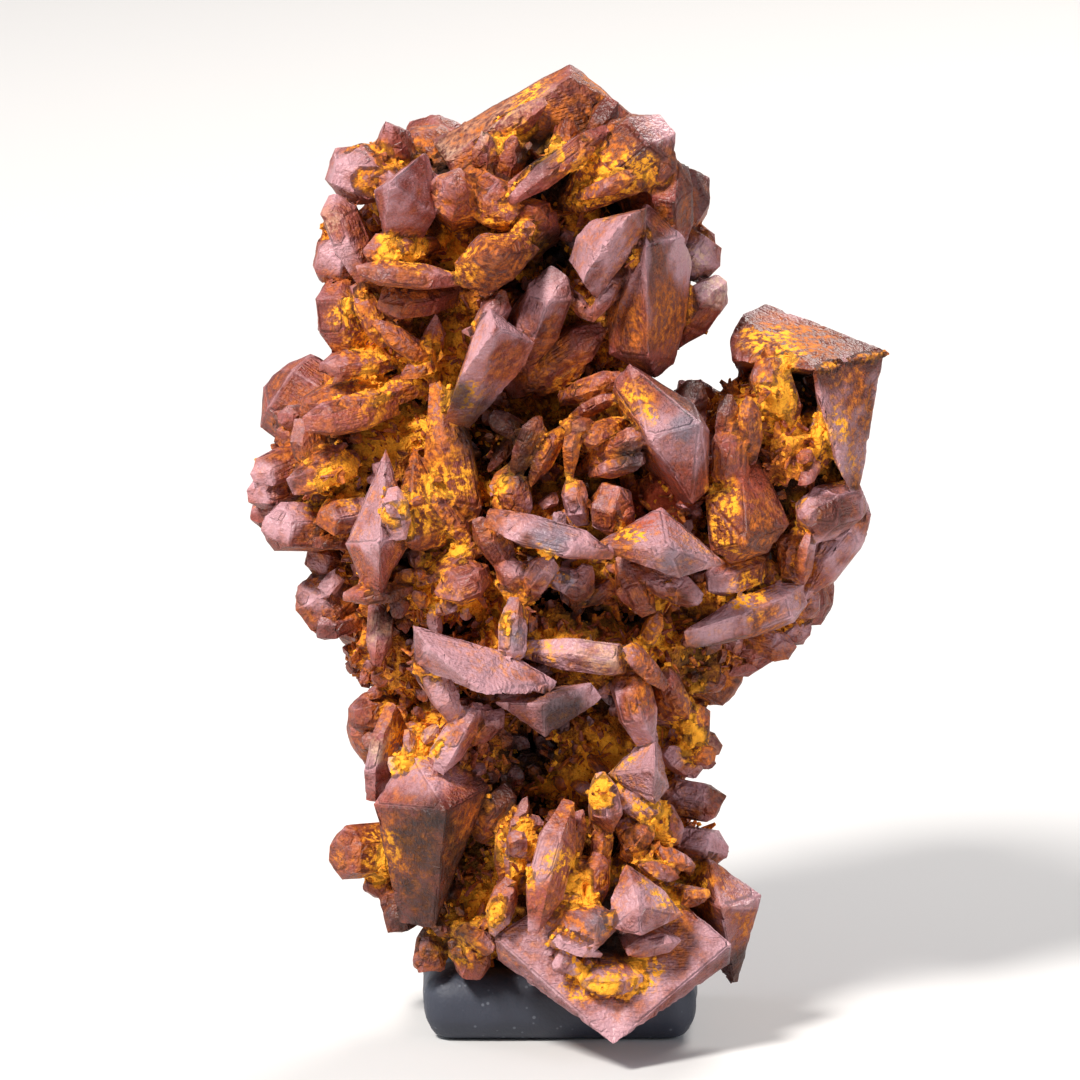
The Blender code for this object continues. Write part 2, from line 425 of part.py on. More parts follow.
def grow_back(collection, rng):
    """Crystals that leave the matrix backwards, each about square to the lump it grows from."""
    golden_turn = math.pi * (3 - math.sqrt(5))
    for lump, count in enumerate(BACK_COUNTS):
        centre, sizes = LUMPS[lump]
        for number in range(count):
            rise = 1 - 2 * (number + 0.5) / count
            turn = golden_turn * (number + lump)
            ring = math.sqrt(1 - rise * rise)
            direction = Vector((ring * math.cos(turn), 0.35 + abs(ring * math.sin(turn)), 0.75 * rise)).normalized()
            half = Vector((sizes[0], sizes[2], sizes[1]))
            start = place(*centre)
            skin = Vector((direction.x * half.x * BACK_SIDE_SHRINK, direction.y * half.y, direction.z * half.z)) * MM
            reach = rng.uniform(*BACK_REACH) * MM
            lean = Vector((rng.uniform(-0.5, 0.5), rng.uniform(-0.2, 0.2), rng.uniform(-0.5, 0.5)))
            outward = (direction + BACK_LEAN * lean).normalized()
            width = rng.uniform(*BACK_WIDTH) * MM
            corners = spear_corners(
                start + skin + outward * reach,
                start + skin * BACK_ROOT,
                width,
                width * rng.uniform(*BACK_FLATTEN),
                rng.uniform(0, 60),
                0.42,
                rng,
            )
            hull_object(f"back_{lump}_{number}", corners, collection)


def rough_lump(name, centre, sizes, collection, rng):
    """A lump of matrix: a coarse ball with its corners moved in and out."""
    mesh = bpy.data.meshes.new(name)
    bm = bmesh.new()
    bmesh.ops.create_icosphere(bm, subdivisions=2, radius=1)
    middle = place(*centre)
    for vert in bm.verts:
        swell = 1 + rng.uniform(-LUMP_WANDER, LUMP_WANDER)
        vert.co = middle + Vector((vert.co.x * sizes[0], vert.co.y * sizes[2], vert.co.z * sizes[1])) * swell * MM
    bm.to_mesh(mesh)
    bm.free()
    obj = bpy.data.objects.new(name, mesh)
    obj.hide_render = collection.hide_render
    return link(obj, collection)


def boolean(obj, name, operation, collection):
    modifier = obj.modifiers.new(name, "BOOLEAN")
    modifier.operation = operation
    modifier.operand_type = "COLLECTION"
    modifier.collection = collection
    modifier.solver = "EXACT"
    return modifier


def keep_main_body(obj):
    """Apply an object's modifiers and keep its largest body, without sealed gaps or loose chips."""
    depsgraph = bpy.context.evaluated_depsgraph_get()
    mesh = bpy.data.meshes.new_from_object(obj.evaluated_get(depsgraph))
    bm = bmesh.new()
    bm.from_mesh(mesh)
    bmesh.ops.remove_doubles(bm, verts=bm.verts, dist=WELD_DISTANCE)
    bmesh.ops.dissolve_degenerate(bm, edges=bm.edges, dist=WELD_DISTANCE)
    unseen = set(bm.faces)
    bodies = []
    while unseen:
        body = [unseen.pop()]
        for face in body:
            for edge in face.edges:
                for other in edge.link_faces:
                    if other in unseen:
                        unseen.discard(other)
                        body.append(other)
        bodies.append(body)
    main_body = set(max(bodies, key=len))
    bmesh.ops.delete(bm, geom=[face for face in bm.faces if face not in main_body], context="FACES")
    bmesh.ops.triangulate(bm, faces=bm.faces)
    bm.to_mesh(mesh)
    bm.free()
    obj.modifiers.clear()
    obj.data = mesh


def dished_crystal(collection, cutters):
    """The great crystal at the foot, with the hollow in its face."""
    corners = [place(*corner) for corner in DISH_RIM + DISH_BEVEL + DISH_BACK]
    crystal = hull_object("dished_crystal", corners, collection)
    hollow = [place(*corner) for corner in DISH_HOLLOW_RIM + DISH_HOLLOW_FLOOR]
    cutter = hull_object("dish_hollow", hollow, cutters)
    modifier = crystal.modifiers.new("hollow", "BOOLEAN")
    modifier.operation = "DIFFERENCE"
    modifier.object = cutter
    modifier.solver = "EXACT"
    return crystal


def base_seat_cutter(collection):
    """The room of the base, a little larger, that the specimen's underside is cut to."""
    bm = bmesh.new()
    bmesh.ops.create_cube(bm, size=1)
    mesh = bpy.data.meshes.new("base_seat")
    size = Vector((BASE_WIDTH + 2 * REST_GAP, BASE_DEPTH + 2 * REST_GAP, 2 * (BASE_HEIGHT + REST_GAP)))
    bmesh.ops.scale(bm, vec=size, verts=bm.verts)
    bm.to_mesh(mesh)
    bm.free()
    obj = bpy.data.objects.new("base_seat", mesh)
    obj.hide_render = True
    obj.display_type = "WIRE"
    return link(obj, collection)


def surface(name, colour, roughness):
    material = bpy.data.materials.new(name)
    material.use_nodes = True
    shader = material.node_tree.nodes["Principled BSDF"]
    shader.inputs["Base Color"].default_value = (*colour, 1)
    shader.inputs["Roughness"].default_value = roughness
    shader.inputs["Metallic"].default_value = 0
    return material


def crystal_cluster(specimen):
    """The specimen: every crystal and lump of matrix joined, then cut to the base's room."""
    growth = new_collection("growth", is_helper=True)
    dish_cutters = new_collection("dish_cutters", is_helper=True)
    seat_cutters = new_collection("seat_cutters", is_helper=True)
    rng = random.Random(GROWTH_SEED)
    for name, spears, blocks in (
        ("crown", CROWN_SPEARS, CROWN_BLOCKS),
        ("shoulder", SHOULDER_SPEARS, SHOULDER_BLOCKS),
        ("middle", MIDDLE_SPEARS, MIDDLE_BLOCKS),
        ("arm", ARM_SPEARS, ARM_BLOCKS),
        ("waist", WAIST_SPEARS, WAIST_BLOCKS),
        ("foot", FOOT_SPEARS, FOOT_BLOCKS),
    ):
        grow_spears(name, spears, growth, rng)
        grow_blocks(name, blocks, growth)
    dished_crystal(growth, dish_cutters)
    grow_back(growth, rng)
    centre, sizes = LUMPS[0]
    cluster = rough_lump("crystal_cluster", centre, sizes, specimen, rng)
    for number, (centre, sizes) in enumerate(LUMPS[1:]):
        rough_lump(f"lump_{number}", centre, sizes, growth, rng)
    boolean(cluster, "grown_together", "UNION", growth)
    keep_main_body(cluster)
    thin = cluster.modifiers.new("fewer_triangles", "DECIMATE")
    thin.ratio = min(1, KEPT_TRIANGLES / len(cluster.data.polygons))
    base_seat_cutter(seat_cutters)
    boolean(cluster, "seat", "DIFFERENCE", seat_cutters).use_self = True
    keep_main_body(cluster)
    cluster.data.materials.append(surface("limonite", (0.28, 0.10, 0.07), 0.55))
    return cluster


def display_base(specimen):
    """The small dark block with rounded edges that the specimen stands on."""
    bm = bmesh.new()
    bmesh.ops.create_cube(bm, size=1)
    bmesh.ops.scale(bm, vec=Vector((BASE_WIDTH, BASE_DEPTH, BASE_HEIGHT)), verts=bm.verts)
    bmesh.ops.translate(bm, vec=Vector((0, 0, BASE_HEIGHT / 2)), verts=bm.verts)
    mesh = bpy.data.meshes.new("display_base")
    bm.to_mesh(mesh)
    bm.free()
    base = link(bpy.data.objects.new("display_base", mesh), specimen)
    bevel = base.modifiers.new("rounded_edges", "BEVEL")
    bevel.width = BASE_CORNER_RADIUS
    bevel.segments = 4
    bevel.limit_method = "ANGLE"
    base.data.materials.append(surface("slate", (0.035, 0.04, 0.055), 0.6))
    base.data.shade_smooth()
    return base


def main():
    for obj in list(bpy.data.objects):
        bpy.data.objects.remove(obj)
    specimen = new_collection("limonite_pseudomorph")
    display_base(specimen)
    crystal_cluster(specimen)


main()
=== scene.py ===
"""A standing cluster of limonite pseudomorphs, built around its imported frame.

The crystals grow again here, in fine detail, from the same places as the frame's solids. A grid of
distances to every crystal gives the surface: hard and slightly worn where crystals show, filled with
grainy ochre where they meet.
"""

import math
import random

import bmesh
import bpy
import numpy as np
from bpy.props import (
    FloatProperty,
    FloatVectorProperty,
    IntProperty,
    PointerProperty,
)
from mathutils import Matrix, Vector


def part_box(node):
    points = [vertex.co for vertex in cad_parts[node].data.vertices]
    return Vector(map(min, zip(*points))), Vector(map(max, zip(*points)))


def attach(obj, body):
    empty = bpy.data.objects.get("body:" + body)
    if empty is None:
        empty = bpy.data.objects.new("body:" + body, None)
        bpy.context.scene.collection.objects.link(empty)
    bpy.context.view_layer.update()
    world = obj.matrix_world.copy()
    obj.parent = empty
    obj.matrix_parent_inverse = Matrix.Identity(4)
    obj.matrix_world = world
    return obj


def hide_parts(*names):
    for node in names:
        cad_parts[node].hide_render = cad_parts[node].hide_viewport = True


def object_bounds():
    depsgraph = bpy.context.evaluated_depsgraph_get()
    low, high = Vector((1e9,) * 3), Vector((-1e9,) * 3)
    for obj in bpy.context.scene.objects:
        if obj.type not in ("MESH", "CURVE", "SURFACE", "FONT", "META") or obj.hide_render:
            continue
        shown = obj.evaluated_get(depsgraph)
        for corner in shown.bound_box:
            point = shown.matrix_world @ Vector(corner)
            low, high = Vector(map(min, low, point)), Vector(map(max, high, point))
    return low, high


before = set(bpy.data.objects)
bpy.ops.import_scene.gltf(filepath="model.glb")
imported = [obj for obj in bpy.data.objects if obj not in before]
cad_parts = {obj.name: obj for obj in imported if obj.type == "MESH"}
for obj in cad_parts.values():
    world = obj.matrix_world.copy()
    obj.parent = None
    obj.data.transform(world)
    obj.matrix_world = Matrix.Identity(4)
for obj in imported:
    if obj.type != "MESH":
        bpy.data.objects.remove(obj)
FRAME_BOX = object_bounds()

bl_info = {
    "name": "Limonite specimen",
    "version": (1, 0, 0),
    "blender": (4, 5, 0),
    "location": "3D View > Sidebar > Specimen",
    "description": "Grows a cluster of limonite crystals with ochre in its crevices, on a small dark base",
    "category": "Add Mesh",
}

MM = 0.001

# The specimen is drawn as it is seen from the front, from a little above the horizon.
# A place is (across, up, forward) in mm: across and up as seen, forward of the middle plane.
VIEW_TILT = math.radians(12)
SEEN_FLOOR_UP = 2.8

BASE_LOW, BASE_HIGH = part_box("display_base")
REST_GAP = 0.3

GROWTH_SEED = 7
CORNER_WANDER = 0.05
GIRDLE_WANDER = 0.12
GIRDLE_SHRINK = 0.97
CHISEL_SHARE = (0.18, 0.5)
# A crystal that points this much at the viewer is turned from the vertical instead.
FACING_LIMIT = 0.75
TURNS = (0, 60)
BURIED_SHARE = 0.7
ROOT_STEPS = 30
SMALLEST_FACE = 1e-4

# Spears: outer tip, inner tip, width as seen, depth away from the viewer, turn about the long axis
# in degrees, and how far the girdle is from the outer tip as a share of the length.
CROWN_SPEARS = [
    ((-22.4, 87.2, 5), (-12, 87.5, -5), 6.6, 8, 20, 0.38),
    ((-16.9, 92.2, 4), (-15.2, 85, -3), 3.8, 4.4, 30, 0.45),
    ((-13.4, 91.6, -2), (-12.5, 80, -7), 7.0, 8, 0, 0.30),
    ((-10.4, 85.6, 13.5), (-10, 82.5, -1), 5.8, 5.4, 40, 0.40),
    ((-4.3, 82.9, 12), (-10.5, 87.2, 4), 5.4, 6, 15, 0.40),
    ((-22.6, 85.3, 6), (-19.4, 76.6, 8), 4.0, 5.2, 25, 0.40),
    ((-23.5, 82.7, 1), (-18, 81, -3), 2.8, 3.4, 0, 0.35),
    ((-24.1, 78.6, 3), (-15, 79.6, -3), 4.8, 5.6, 30, 0.30),
    ((-19.2, 79.3, 13), (-13, 79.6, 6), 3.6, 4.0, 10, 0.40),
    ((-20.2, 77.6, 13.5), (-9.2, 76.5, 12), 2.8, 4.4, 12, 0.45),
    ((-2.8, 83.8, 12.5), (-3, 79.5, 1), 4.8, 4.8, 20, 0.45),
    ((-7.4, 91.2, 9.5), (-6.8, 85.5, 6), 2.8, 3.0, 35, 0.55),
    ((-4.6, 90.8, 9.5), (-5.4, 85.5, 6), 3.2, 3.2, 10, 0.55),
    ((-1.4, 94.4, 8.0), (-7.5, 90.2, 6), 2.4, 2.6, 0, 0.50),
    ((0.9, 92.6, 8.5), (0.4, 87.5, 5), 2.9, 3.2, 30, 0.45),
    ((5.2, 94.6, 5.0), (2.4, 88.5, 4), 3.0, 3.6, 20, 0.45),
    ((5.0, 91.8, 10.5), (-5.2, 84.2, 13), 2.7, 4.0, 15, 0.45),
    ((10.6, 92.0, 8), (1.4, 84.2, 9), 7.6, 8.4, 22, 0.36),
    ((7.4, 87.0, 14.2), (3.4, 85.0, 13.4), 1.9, 2.2, 30, 0.50),
    ((10.8, 88.4, 8.5), (11.0, 79, 3), 4.8, 6.6, 15, 0.40),
    ((14.4, 83.7, 2), (5, 86.5, -5), 8.0, 8.4, 30, 0.34),
    ((15.5, 77.8, 3), (8.5, 82.5, -3), 5.0, 6.4, 20, 0.34),
    ((16.0, 77.0, 4), (11.4, 70.4, 3), 4.0, 7.0, 20, 0.46),
    ((7.2, 79.9, 14.0), (9.0, 76.6, 6), 3.0, 3.2, 40, 0.40),
    ((3.1, 72.6, 11.0), (6.8, 78.8, 10), 1.7, 3.4, 0, 0.45),
    ((3.0, 72.7, 11.2), (0.6, 75.8, 9), 1.6, 3.0, 0, 0.45),
]

SHOULDER_SPEARS = [
    ((-22.2, 77.2, 3), (-21.2, 68.4, 4), 5.6, 6.2, 24, 0.45),
    ((-20.4, 76.6, 6), (-17.2, 70.2, 7), 2.7, 3.4, 10, 0.50),
    ((-18.0, 74.2, 10.5), (-9.5, 75.4, 4), 3.8, 4.6, 30, 0.35),
    ((-18.4, 72.6, 10.5), (-12.6, 68.5, 8), 2.3, 3.2, 15, 0.50),
    ((-12.2, 73.2, 8), (-13.2, 67.2, 6), 2.4, 3.0, 30, 0.50),
    ((-23.8, 68.1, 7), (-14.0, 69.2, 3), 2.6, 4.2, 25, 0.35),
    ((-15.8, 67.2, 9.5), (-12.2, 68.7, 8), 1.9, 2.4, 20, 0.50),
    ((-26.2, 64.2, 5), (-10.5, 67.0, 4), 3.5, 5.2, 30, 0.35),
    ((-25.4, 62.5, 12), (-16.0, 64.3, 8), 3.6, 4.4, 15, 0.42),
    ((-28.1, 63.1, 3), (-21, 63.6, 0), 2.6, 3.4, 10, 0.35),
    ((-28.4, 61.4, 2), (-21, 60.8, -1), 2.9, 3.6, 30, 0.35),
    ((-25.7, 63.0, 8), (-24.2, 57.4, 7), 3.2, 4.4, 35, 0.45),
    ((-30.8, 57.2, 5), (-22.5, 60.4, 1), 3.4, 4.4, 25, 0.35),
    ((-26.8, 56.2, 10), (-20.0, 59.4, 7), 3.8, 4.4, 15, 0.45),
    ((-31.2, 55.3, 4), (-22.5, 58.0, 0), 3.9, 5.0, 10, 0.34),
    ((-30.8, 53.5, 1), (-23, 54.6, -4), 3.8, 5.0, 30, 0.34),
    ((-29.7, 52.4, 8), (-18.5, 52.2, 3), 5.2, 6.2, 18, 0.36),
    ((-24.2, 53.0, 10), (-16.5, 54.2, 6), 3.9, 4.4, 35, 0.36),
    ((-16.5, 56.2, 16.8), (-15.7, 51.0, 18.4), 2.9, 3.2, 15, 0.50),
    ((-21.5, 45.4, 14), (-14.6, 46.1, 13), 1.8, 4.4, 20, 0.45),
    ((-25.6, 43.0, 4), (-18.5, 50.0, -2), 5.8, 6.6, 20, 0.36),
    ((-25.4, 49.3, 3), (-17.5, 47.8, -2), 3.6, 4.6, 10, 0.35),
    ((-24.5, 41.9, 5), (-17.5, 44.4, 0), 3.0, 3.8, 30, 0.35),
    ((-18.2, 38.4, 11.5), (-17.6, 46.4, 8), 2.9, 3.2, 20, 0.50),
    ((-12.7, 44.5, 12.5), (-12.2, 41.2, 11), 1.5, 1.8, 20, 0.50),
    ((-12.4, 66.8, 10), (-9.4, 51.0, 10), 5.4, 6.0, 35, 0.55),
    ((-13.6, 57.0, 12), (-8.6, 49.6, 12), 2.6, 3.6, 0, 0.50),
]

MIDDLE_SPEARS = [
    ((-0.1, 77.6, 12), (-3.8, 67.5, 8), 4.7, 5.4, 25, 0.38),
    ((-5.6, 75.6, 12), (-8.8, 69.0, 9), 3.0, 4.0, 0, 0.40),
    ((4.6, 72.2, 8), (-5.4, 65.6, 6), 4.4, 4.6, 20, 0.42),
    ((-7.0, 63.4, 12), (-1.2, 60.0, 9), 2.4, 3.2, 20, 0.35),
    ((-7.1, 57.8, 10), (-3.6, 62.4, 8), 1.6, 2.2, 20, 0.50),
    ((-1.9, 63.5, 13), (-4.8, 56.8, 12), 2.0, 3.2, 35, 0.40),
    ((0.2, 62.2, 12), (-3.2, 56.2, 12), 2.2, 3.2, 15, 0.40),
    ((1.5, 63.2, 15.5), (0.8, 57.2, 14), 1.9, 2.4, 20, 0.35),
    ((0.0, 62.2, 15.6), (3.2, 62.6, 15), 1.5, 2.2, 20, 0.50),
    ((2.0, 60.9, 15.5), (7.0, 62.9, 12), 2.4, 3.0, 20, 0.40),
    ((8.6, 61.6, 15.5), (2.8, 58.8, 13), 2.6, 3.2, 30, 0.40),
    ((8.4, 59.2, 15), (2.8, 57.4, 13), 2.2, 3.0, 10, 0.40),
    ((5.6, 65.4, 11), (0.8, 62.9, 10), 1.7, 2.4, 20, 0.40),
    ((6.2, 67.2, 10), (-0.2, 64.8, 8), 2.6, 3.4, 25, 0.45),
    ((13.5, 66.8, 9), (11.8, 59.5, 6), 3.3, 3.6, 20, 0.40),
    ((-8.0, 53.5, 18.5), (5.2, 49.4, 20), 3.4, 5.0, 18, 0.52),
    ((-8.3, 53.2, 16), (-4.8, 47.8, 13), 3.0, 3.6, 20, 0.45),
    ((14.0, 45.1, 15.5), (5.5, 48.8, 11), 3.3, 4.4, 25, 0.40),
    ((5.8, 49.4, 14), (8.8, 43.6, 13), 3.2, 4.2, 10, 0.50),
    ((5.0, 56.4, 14.5), (5.2, 51.2, 12), 4.4, 5.2, 25, 0.45),
    ((0.9, 57.3, 14), (2.2, 52.4, 14), 2.8, 3.4, 15, 0.45),
    ((-4.9, 57.3, 13), (-3.8, 52.6, 12), 3.4, 3.8, 30, 0.40),
    ((-5.8, 48.8, 15.5), (-2.3, 45.0, 13), 3.2, 3.6, 20, 0.40),
    ((-0.7, 49.4, 16.5), (-3.7, 44.8, 15), 2.6, 3.4, 30, 0.40),
    ((-12.3, 45.5, 15), (-6.8, 47.8, 13.5), 4.3, 5.4, 10, 0.50),
    ((-14.2, 46.5, 13.5), (-7.4, 51.1, 12), 1.8, 3.4, 25, 0.50),
    ((-12.4, 48.9, 12.5), (-7.2, 49.9, 12), 1.6, 3.0, 0, 0.50),
    ((-0.7, 47.7, 15.5), (3.2, 45.3, 13), 2.8, 3.4, 20, 0.40),
    ((2.7, 48.8, 14.5), (1.4, 44.0, 13), 2.4, 3.2, 10, 0.45),
    ((5.6, 47.0, 13), (2.2, 44.6, 12), 2.2, 2.8, 20, 0.45),
    ((-4.6, 45.4, 17.5), (-4.8, 38.5, 18), 3.1, 3.4, 30, 0.52),
]

ARM_SPEARS = [
    ((20.2, 69.0, 9), (22.8, 61.6, 7), 4.8, 5.2, 30, 0.40),
    ((16.8, 65.4, 12), (16.1, 60.6, 11), 2.2, 2.8, 20, 0.45),
    ((18.6, 65.2, 12), (19.0, 58.6, 11), 2.2, 3.2, 30, 0.45),
    ((16.9, 63.4, 11.5), (16.8, 54.6, 11), 3.9, 5.0, 35, 0.45),
    ((23.8, 53.2, 10.5), (30.2, 54.7, 2), 5.2, 6.2, 20, 0.45),
    ((30.9, 54.1, 3), (23.6, 45.0, 6), 3.5, 5.2, 30, 0.42),
    ((24.8, 52.2, 9), (24.1, 46.5, 8), 1.7, 2.8, 20, 0.50),
    ((23.4, 52.2, 8), (22.8, 46.0, 6), 3.0, 3.6, 10, 0.50),
    ((12.4, 41.0, 14), (24.4, 45.6, 8), 4.6, 5.0, 16, 0.62),
    ((26.1, 45.0, 4), (17, 44.0, 1), 3.8, 5.0, 25, 0.34),
    ((23.3, 39.8, 7), (15, 42.8, 4), 3.5, 4.4, 15, 0.36),
    ((17.7, 39.6, 8.5), (17.2, 42.8, 7.5), 1.4, 1.8, 20, 0.50),
    ((25.1, 42.2, 3), (17, 41.4, 0), 3.2, 4.4, 30, 0.35),
    ((17.0, 37.5, 3), (22.4, 40.8, -2), 2.4, 3.4, 20, 0.45),
    ((14.2, 46.6, 12), (21, 48.8, 6), 4.2, 4.6, 25, 0.45),
    ((26.9, 64.2, 8), (24.6, 56.6, 5), 2.8, 3.4, 15, 0.50),
]

WAIST_SPEARS = [
    ((-14.0, 40.6, 18.5), (-10.0, 32.6, 17), 3.0, 3.4, 14, 0.45),
    ((7.2, 38.9, 16), (-5.5, 40.5, 15), 3.6, 4.6, 25, 0.30),
    ((6.4, 40.6, 16.5), (10.6, 36.2, 14), 2.2, 3.2, 20, 0.40),
    ((10.0, 43.8, 12), (7.8, 39.8, 11), 1.9, 2.4, 10, 0.40),
    ((6.4, 38.9, 13.5), (8.5, 30.7, 14.5), 4.4, 5.2, 20, 0.45),
    ((3.9, 28.2, 16.5), (5.1, 22.1, 17), 3.3, 3.8, 30, 0.48),
    ((5.4, 26.9, 14), (10.0, 23.0, 13), 3.7, 4.4, 15, 0.50),
    ((16.6, 37.0, 5), (10.5, 36.8, 3), 2.7, 3.6, 20, 0.35),
    ((10.1, 38.7, 10.5), (12.9, 32.6, 8), 2.5, 3.4, 20, 0.45),
    ((13.6, 34.9, 8), (13.4, 29.2, 6), 3.2, 3.8, 30, 0.45),
    ((16.1, 30.0, 4), (10, 32.4, 1), 2.8, 3.6, 15, 0.36),
    ((15.6, 28.4, 3), (11, 30.6, 1), 1.8, 2.4, 15, 0.36),
    ((10.4, 30.2, 9), (14.0, 27.6, 6), 2.5, 3.0, 15, 0.45),
    ((16.4, 24.5, 5), (8, 25.8, 3), 4.2, 5.4, 25, 0.38),
    ((16.8, 19.9, 7), (9.2, 21.0, 6), 4.2, 5.2, 20, 0.38),
    ((-21.2, 33.2, 4), (-12.5, 35.4, -2), 4.4, 5.0, 15, 0.36),
    ((-20.0, 30.7, 4), (-14, 31.8, 0), 2.4, 3.0, 20, 0.36),
    ((-16.7, 34.8, 10.5), (-18.9, 25.0, 9.5), 2.6, 4.0, 25, 0.45),
    ((-8.0, 35.0, 16.5), (-12.1, 28.0, 16.5), 2.8, 3.6, 10, 0.50),
    ((-5.6, 34.2, 15.5), (-9.0, 31.0, 15), 2.7, 3.2, 30, 0.50),
    ((-15.2, 32.2, 13.5), (-14.9, 29.2, 13), 1.5, 1.8, 20, 0.50),
    ((-16.7, 29.6, 13.5), (-15.3, 27.2, 13), 1.7, 2.0, 10, 0.50),
    ((-12.2, 32.6, 14.0), (-13.6, 30.8, 12.5), 1.5, 1.8, 20, 0.50),
]

FOOT_SPEARS = [
    ((-23.2, 19.5, 6), (-11, 20.3, -2), 5.8, 6.4, 12, 0.34),
    ((-19.8, 16.5, 4), (-13, 15.6, 0), 2.7, 3.4, 20, 0.36),
    ((-17.9, 14.2, 5), (-13, 17.2, 1), 2.5, 3.2, 20, 0.36),
    ((-17.4, 12.4, 7), (-12, 15.6, 2), 3.4, 4.2, 30, 0.38),
    ((-13.4, 7.3, 11), (-12.4, 13.0, 7), 3.7, 4.4, 20, 0.42),
    ((-6.4, 10.3, 15.5), (-11.4, 12.5, 11), 2.3, 3.2, 25, 0.42),
    ((-8.9, 7.2, 12.5), (-8.6, 13.0, 9), 4.2, 4.6, 20, 0.42),
    ((-4.9, 17.4, 17.5), (-6.8, 11.8, 17), 2.9, 3.8, 20, 0.45),
    ((0.9, 25.4, 18.5), (-2.7, 12.2, 22), 4.4, 5.4, 20, 0.48),
    ((1.9, 24.2, 15.5), (0.4, 16.6, 17.5), 2.2, 3.2, 15, 0.45),
    ((4.3, 23.2, 15), (3.8, 17.0, 15.5), 2.4, 3.2, 20, 0.45),
    ((9.0, 23.0, 14.5), (6.0, 19.0, 14.5), 2.6, 3.2, 20, 0.45),
    ((5.9, 23.6, 14), (8.0, 18.8, 15), 2.2, 3.0, 15, 0.45),
    ((-3.3, 25.6, 13.5), (-4.9, 16.2, 15.5), 2.6, 3.4, 20, 0.45),
    ((-5.4, 23.2, 13.5), (-5.7, 16.8, 13.5), 2.2, 3.0, 15, 0.45),
    ((-4.9, 26.3, 13), (-8.5, 21.2, 12), 3.7, 4.4, 20, 0.45),
    ((3.6, 20.0, 17.5), (3.6, 14.2, 18), 2.8, 3.4, 35, 0.40),
    ((2.7, 18.0, 18.5), (-0.4, 16.4, 18.5), 2.0, 2.4, 20, 0.50),
    ((-1.5, 16.3, 19.5), (3.3, 15.3, 19), 1.1, 2.8, 10, 0.50),
    ((-0.8, 11.7, 21.6), (4.1, 9.9, 21.8), 1.7, 2.8, 20, 0.45),
    ((11.9, 11.4, 19), (6.6, 10.2, 20.5), 2.1, 3.0, 20, 0.45),
    ((2.2, 7.1, 21.5), (8.2, 7.3, 20), 3.0, 3.6, 20, 0.45),
    ((-0.4, 10.2, 20), (2.3, 8.0, 20.8), 1.9, 2.4, 20, 0.50),
    ((8.1, 18.8, 17.5), (11.8, 17.4, 16), 1.6, 2.2, 20, 0.50),
    ((9.8, 20.3, 15.5), (13.3, 18.3, 14), 1.9, 2.6, 20, 0.50),
    ((9.5, 24.8, 12.5), (11.8, 20.6, 11), 3.0, 3.6, 30, 0.45),
    ((14.9, 15.9, 16), (11.8, 15.2, 15), 1.8, 2.2, 20, 0.50),
]

# Large crystals, each by the corners that its faces meet in.
CROWN_BLOCKS = [
    # The peak, with the bevel along its upper left edge, which the cream spots paint pale as a highlight.
    [(1.0, 98.3, 0), (-12.7, 90.7, 0), (-11.4, 88.6, 5), (-3.6, 93.8, 6.5), (1.0, 96.6, 5), (5.0, 94.6, 3),
     (8.4, 92.2, 1), (6.5, 85, 4), (-9, 84, 7), (-8, 86, -6), (2, 94, -7), (6, 86, -6)],
    # The pyramid at the crown's left that points forward.
    [(-16.7, 86.1, 16), (-13.2, 89.3, 11), (-11.8, 85.4, 8.5), (-12.3, 82.9, 10.5), (-14, 80.1, 9),
     (-17.3, 80.4, 11), (-18.4, 85.4, 10), (-14, 85, -3)],
    # The blunt pyramid below it, with ridges meeting at its front.
    [(-5.6, 79.0, 19), (-10.5, 78.2, 13.5), (-8.0, 81.2, 13), (-3.4, 81.2, 13), (-2.0, 79.6, 12.5),
     (-4.6, 76.6, 14), (-7.0, 75.2, 13), (-9.7, 75.9, 12.5), (-6, 79, 2)],
    # The tall coarse crystal on the right.
    [(8.4, 84.3, 10), (12.1, 81.0, 9), (13.0, 78.6, 6), (12.4, 72.6, 7), (11.2, 68.4, 8), (9.3, 66.9, 10),
     (8.7, 69, 14), (8.4, 80, 15), (4.8, 69.4, 9), (4.6, 74.6, 8), (6.3, 80, 10), (9, 76, -4)],
    # The leaning slab in front of it.
    [(8.5, 83.7, 14), (8.4, 81.0, 13.5), (3.5, 74.6, 14.5), (2.1, 76.4, 17), (5.2, 81.0, 18.5),
     (6.9, 82.9, 17.5), (0.9, 78.5, 12.5), (1.6, 80.9, 12), (3.0, 82.4, 12.5), (5, 79, 2)],
    # The arrowhead that points down to the left.
    [(-6.9, 73.8, 18), (-2.5, 70.4, 16), (-3.7, 67.9, 14), (-9.0, 62.0, 13), (-11.4, 62.7, 14),
     (-10.0, 66.5, 17), (-6.3, 71.8, 21), (-8.3, 71.4, 17), (-9, 71, 0)],
]

SHOULDER_BLOCKS = [
    # The large double pyramid at the left, with its level girdle.
    [(-17.2, 60.1, 12.5), (-21.2, 50.6, 14), (-17.8, 50.8, 20), (-14.6, 51.5, 15), (-17.8, 45.2, 15.5),
     (-19.3, 45.9, 14), (-17, 51, 3)],
    # Its twin on the right.
    [(-14.5, 60.4, 11), (-17.1, 52, 14.5), (-15.0, 50.8, 17.5), (-10.3, 52.4, 12.5), (-11.4, 50.4, 12.5),
     (-14.5, 49.8, 14.5), (-13, 53, 1)],
]

